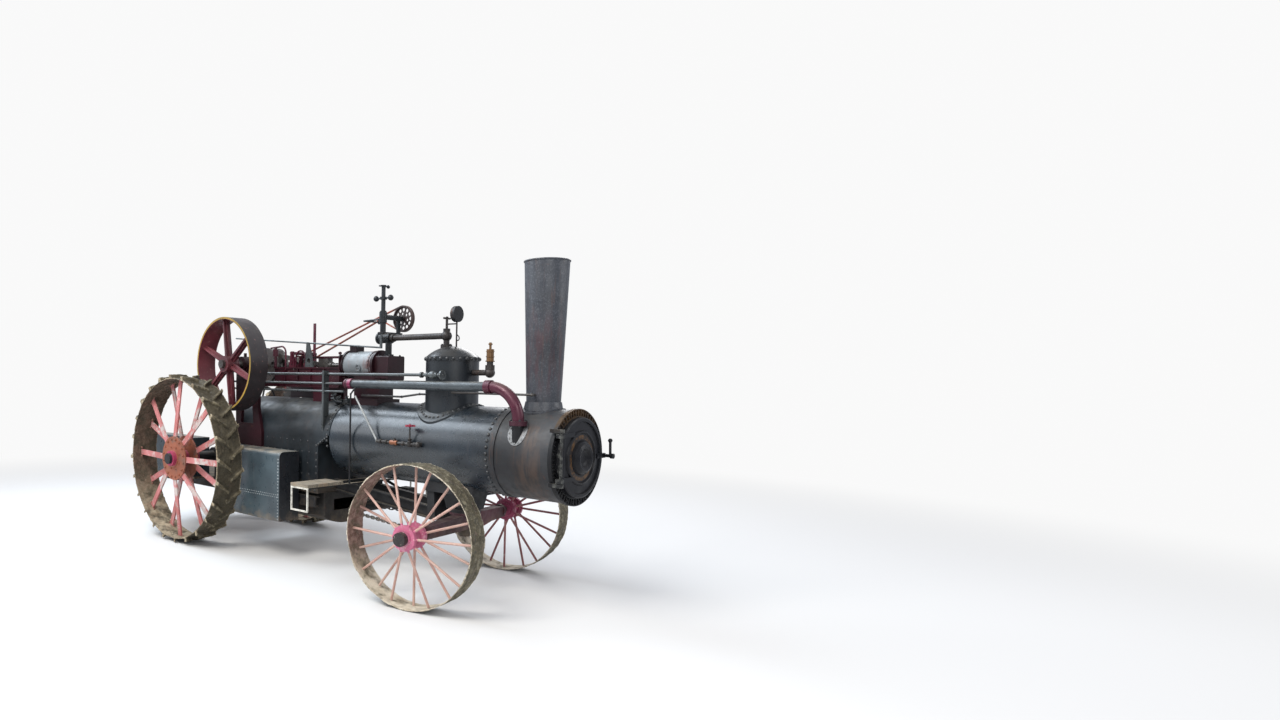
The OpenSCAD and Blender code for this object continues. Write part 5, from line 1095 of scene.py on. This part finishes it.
# Stage: the floor turns into the white of the background far from the engine
WHITE = (1, 1, 1, 1)
BACKDROP_STRENGTH = 0.95


def pale_floor():
    g = Graph("stage_pale")
    g.bsdf.inputs["Base Color"].default_value = (0.66, 0.655, 0.645, 1)
    g.bsdf.inputs["Roughness"].default_value = 0.9
    distance = g.new("VectorMath")
    distance.operation = "LENGTH"
    g.link(g.point, distance.inputs[0])
    glow = g.new("Emission")
    glow.inputs["Color"].default_value = WHITE
    glow.inputs["Strength"].default_value = BACKDROP_STRENGTH
    seen = g.new("LightPath").outputs["Is Camera Ray"]
    blend = g.new("MixShader")
    g.link(g.times(g.ramp(distance.outputs["Value"], 3.2, 11.0), seen), blend.inputs[0])
    g.link(g.bsdf.outputs[0], blend.inputs[1])
    g.link(glow.outputs[0], blend.inputs[2])
    g.link(blend.outputs[0], g.out.inputs[0])

    bpy.ops.mesh.primitive_plane_add(size=60, location=(0, 0, -0.0005))
    floor = bpy.context.object
    floor.name = "floor"
    floor.data.materials.append(g.mat)


def studio_world():
    """Soft sky light on the engine, plain white where the camera sees the world."""
    world = bpy.data.worlds.new("studio")
    bpy.context.scene.world = world
    world.use_nodes = True
    tree = world.node_tree
    sky = tree.nodes["Background"]
    sky.inputs["Color"].default_value = (0.86, 0.90, 1.0, 1)
    sky.inputs["Strength"].default_value = 0.62
    backdrop = tree.nodes.new("ShaderNodeBackground")
    backdrop.inputs["Color"].default_value = WHITE
    backdrop.inputs["Strength"].default_value = BACKDROP_STRENGTH
    seen = tree.nodes.new("ShaderNodeLightPath")
    blend = tree.nodes.new("ShaderNodeMixShader")
    tree.links.new(seen.outputs["Is Camera Ray"], blend.inputs[0])
    tree.links.new(sky.outputs[0], blend.inputs[1])
    tree.links.new(backdrop.outputs[0], blend.inputs[2])
    tree.links.new(blend.outputs[0], tree.nodes["World Output"].inputs[0])


def area(name, at, look, size, power, color=(1, 1, 1)):
    """A rectangular lamp at a place, looking at another one."""
    lamp = bpy.data.lights.new(name, "AREA")
    lamp.shape = "RECTANGLE"
    lamp.size, lamp.size_y = size
    lamp.energy = power
    lamp.color = color
    ob = bpy.data.objects.new(name, lamp)
    bpy.context.scene.collection.objects.link(ob)
    ob.location = at
    ob.rotation_euler = (Vector(look) - Vector(at)).to_track_quat("-Z", "Y").to_euler()


pale_floor()
studio_world()
area("key", at=(0.8, -5.6, 6.8), look=(0.3, 0, 0.8), size=(4, 4), power=560, color=(1.0, 0.97, 0.92))
area("fill", at=(-6, -6, 4.5), look=(0, 0, 1), size=(4, 3), power=110, color=(0.9, 0.95, 1.0))
area("front", at=(6.5, -4.0, 4.0), look=(1.5, 0, 1.0), size=(3, 3), power=90, color=(1.0, 0.98, 0.95))
area("sky", at=(-4.6, -1.6, 6.8), look=(0.9, -0.3, 1.3), size=(6, 4), power=520, color=(0.80, 0.90, 1.0))
area("back", at=(-1, 7, 6), look=(0, 0, 1), size=(5, 3), power=260)
area("rim", at=(7, 3, 4), look=(1, 0, 1), size=(3, 3), power=90)

# Camera, as fitted to the photograph; picture sizes are in pixels
PICTURE_W, PICTURE_H = 1280, 720
FOCAL_PX = 774.123
CENTRE_X_PX, CENTRE_Y_PX = 350, 416
SENSOR_MM = 36
AZIMUTH, PITCH, ROLL = math.radians(46.424), math.radians(2.763), math.radians(0.866)


def photo_camera():
    data = bpy.data.cameras.new("camera")
    camera = bpy.data.objects.new("camera", data)
    bpy.context.scene.collection.objects.link(camera)
    level_ahead = Vector((-math.sin(AZIMUTH), math.cos(AZIMUTH), 0))
    ahead = level_ahead * math.cos(PITCH) - Vector(UP) * math.sin(PITCH)
    level = Vector((math.cos(AZIMUTH), math.sin(AZIMUTH), 0))
    upright = level.cross(ahead)
    right = level * math.cos(ROLL) + upright * math.sin(ROLL)
    up = upright * math.cos(ROLL) - level * math.sin(ROLL)
    matrix = Matrix((right, up, -ahead)).transposed().to_4x4()
    matrix.translation = place(7.095, -5.173, 1.735)
    camera.matrix_world = matrix
    data.sensor_width = SENSOR_MM
    data.sensor_fit = "HORIZONTAL"
    data.lens = FOCAL_PX * SENSOR_MM / PICTURE_W
    data.shift_x = (PICTURE_W / 2 - CENTRE_X_PX) / PICTURE_W
    data.shift_y = (CENTRE_Y_PX - PICTURE_H / 2) / PICTURE_W
    bpy.context.scene.camera = camera


photo_camera()
bpy.context.scene.view_settings.view_transform = "Standard"
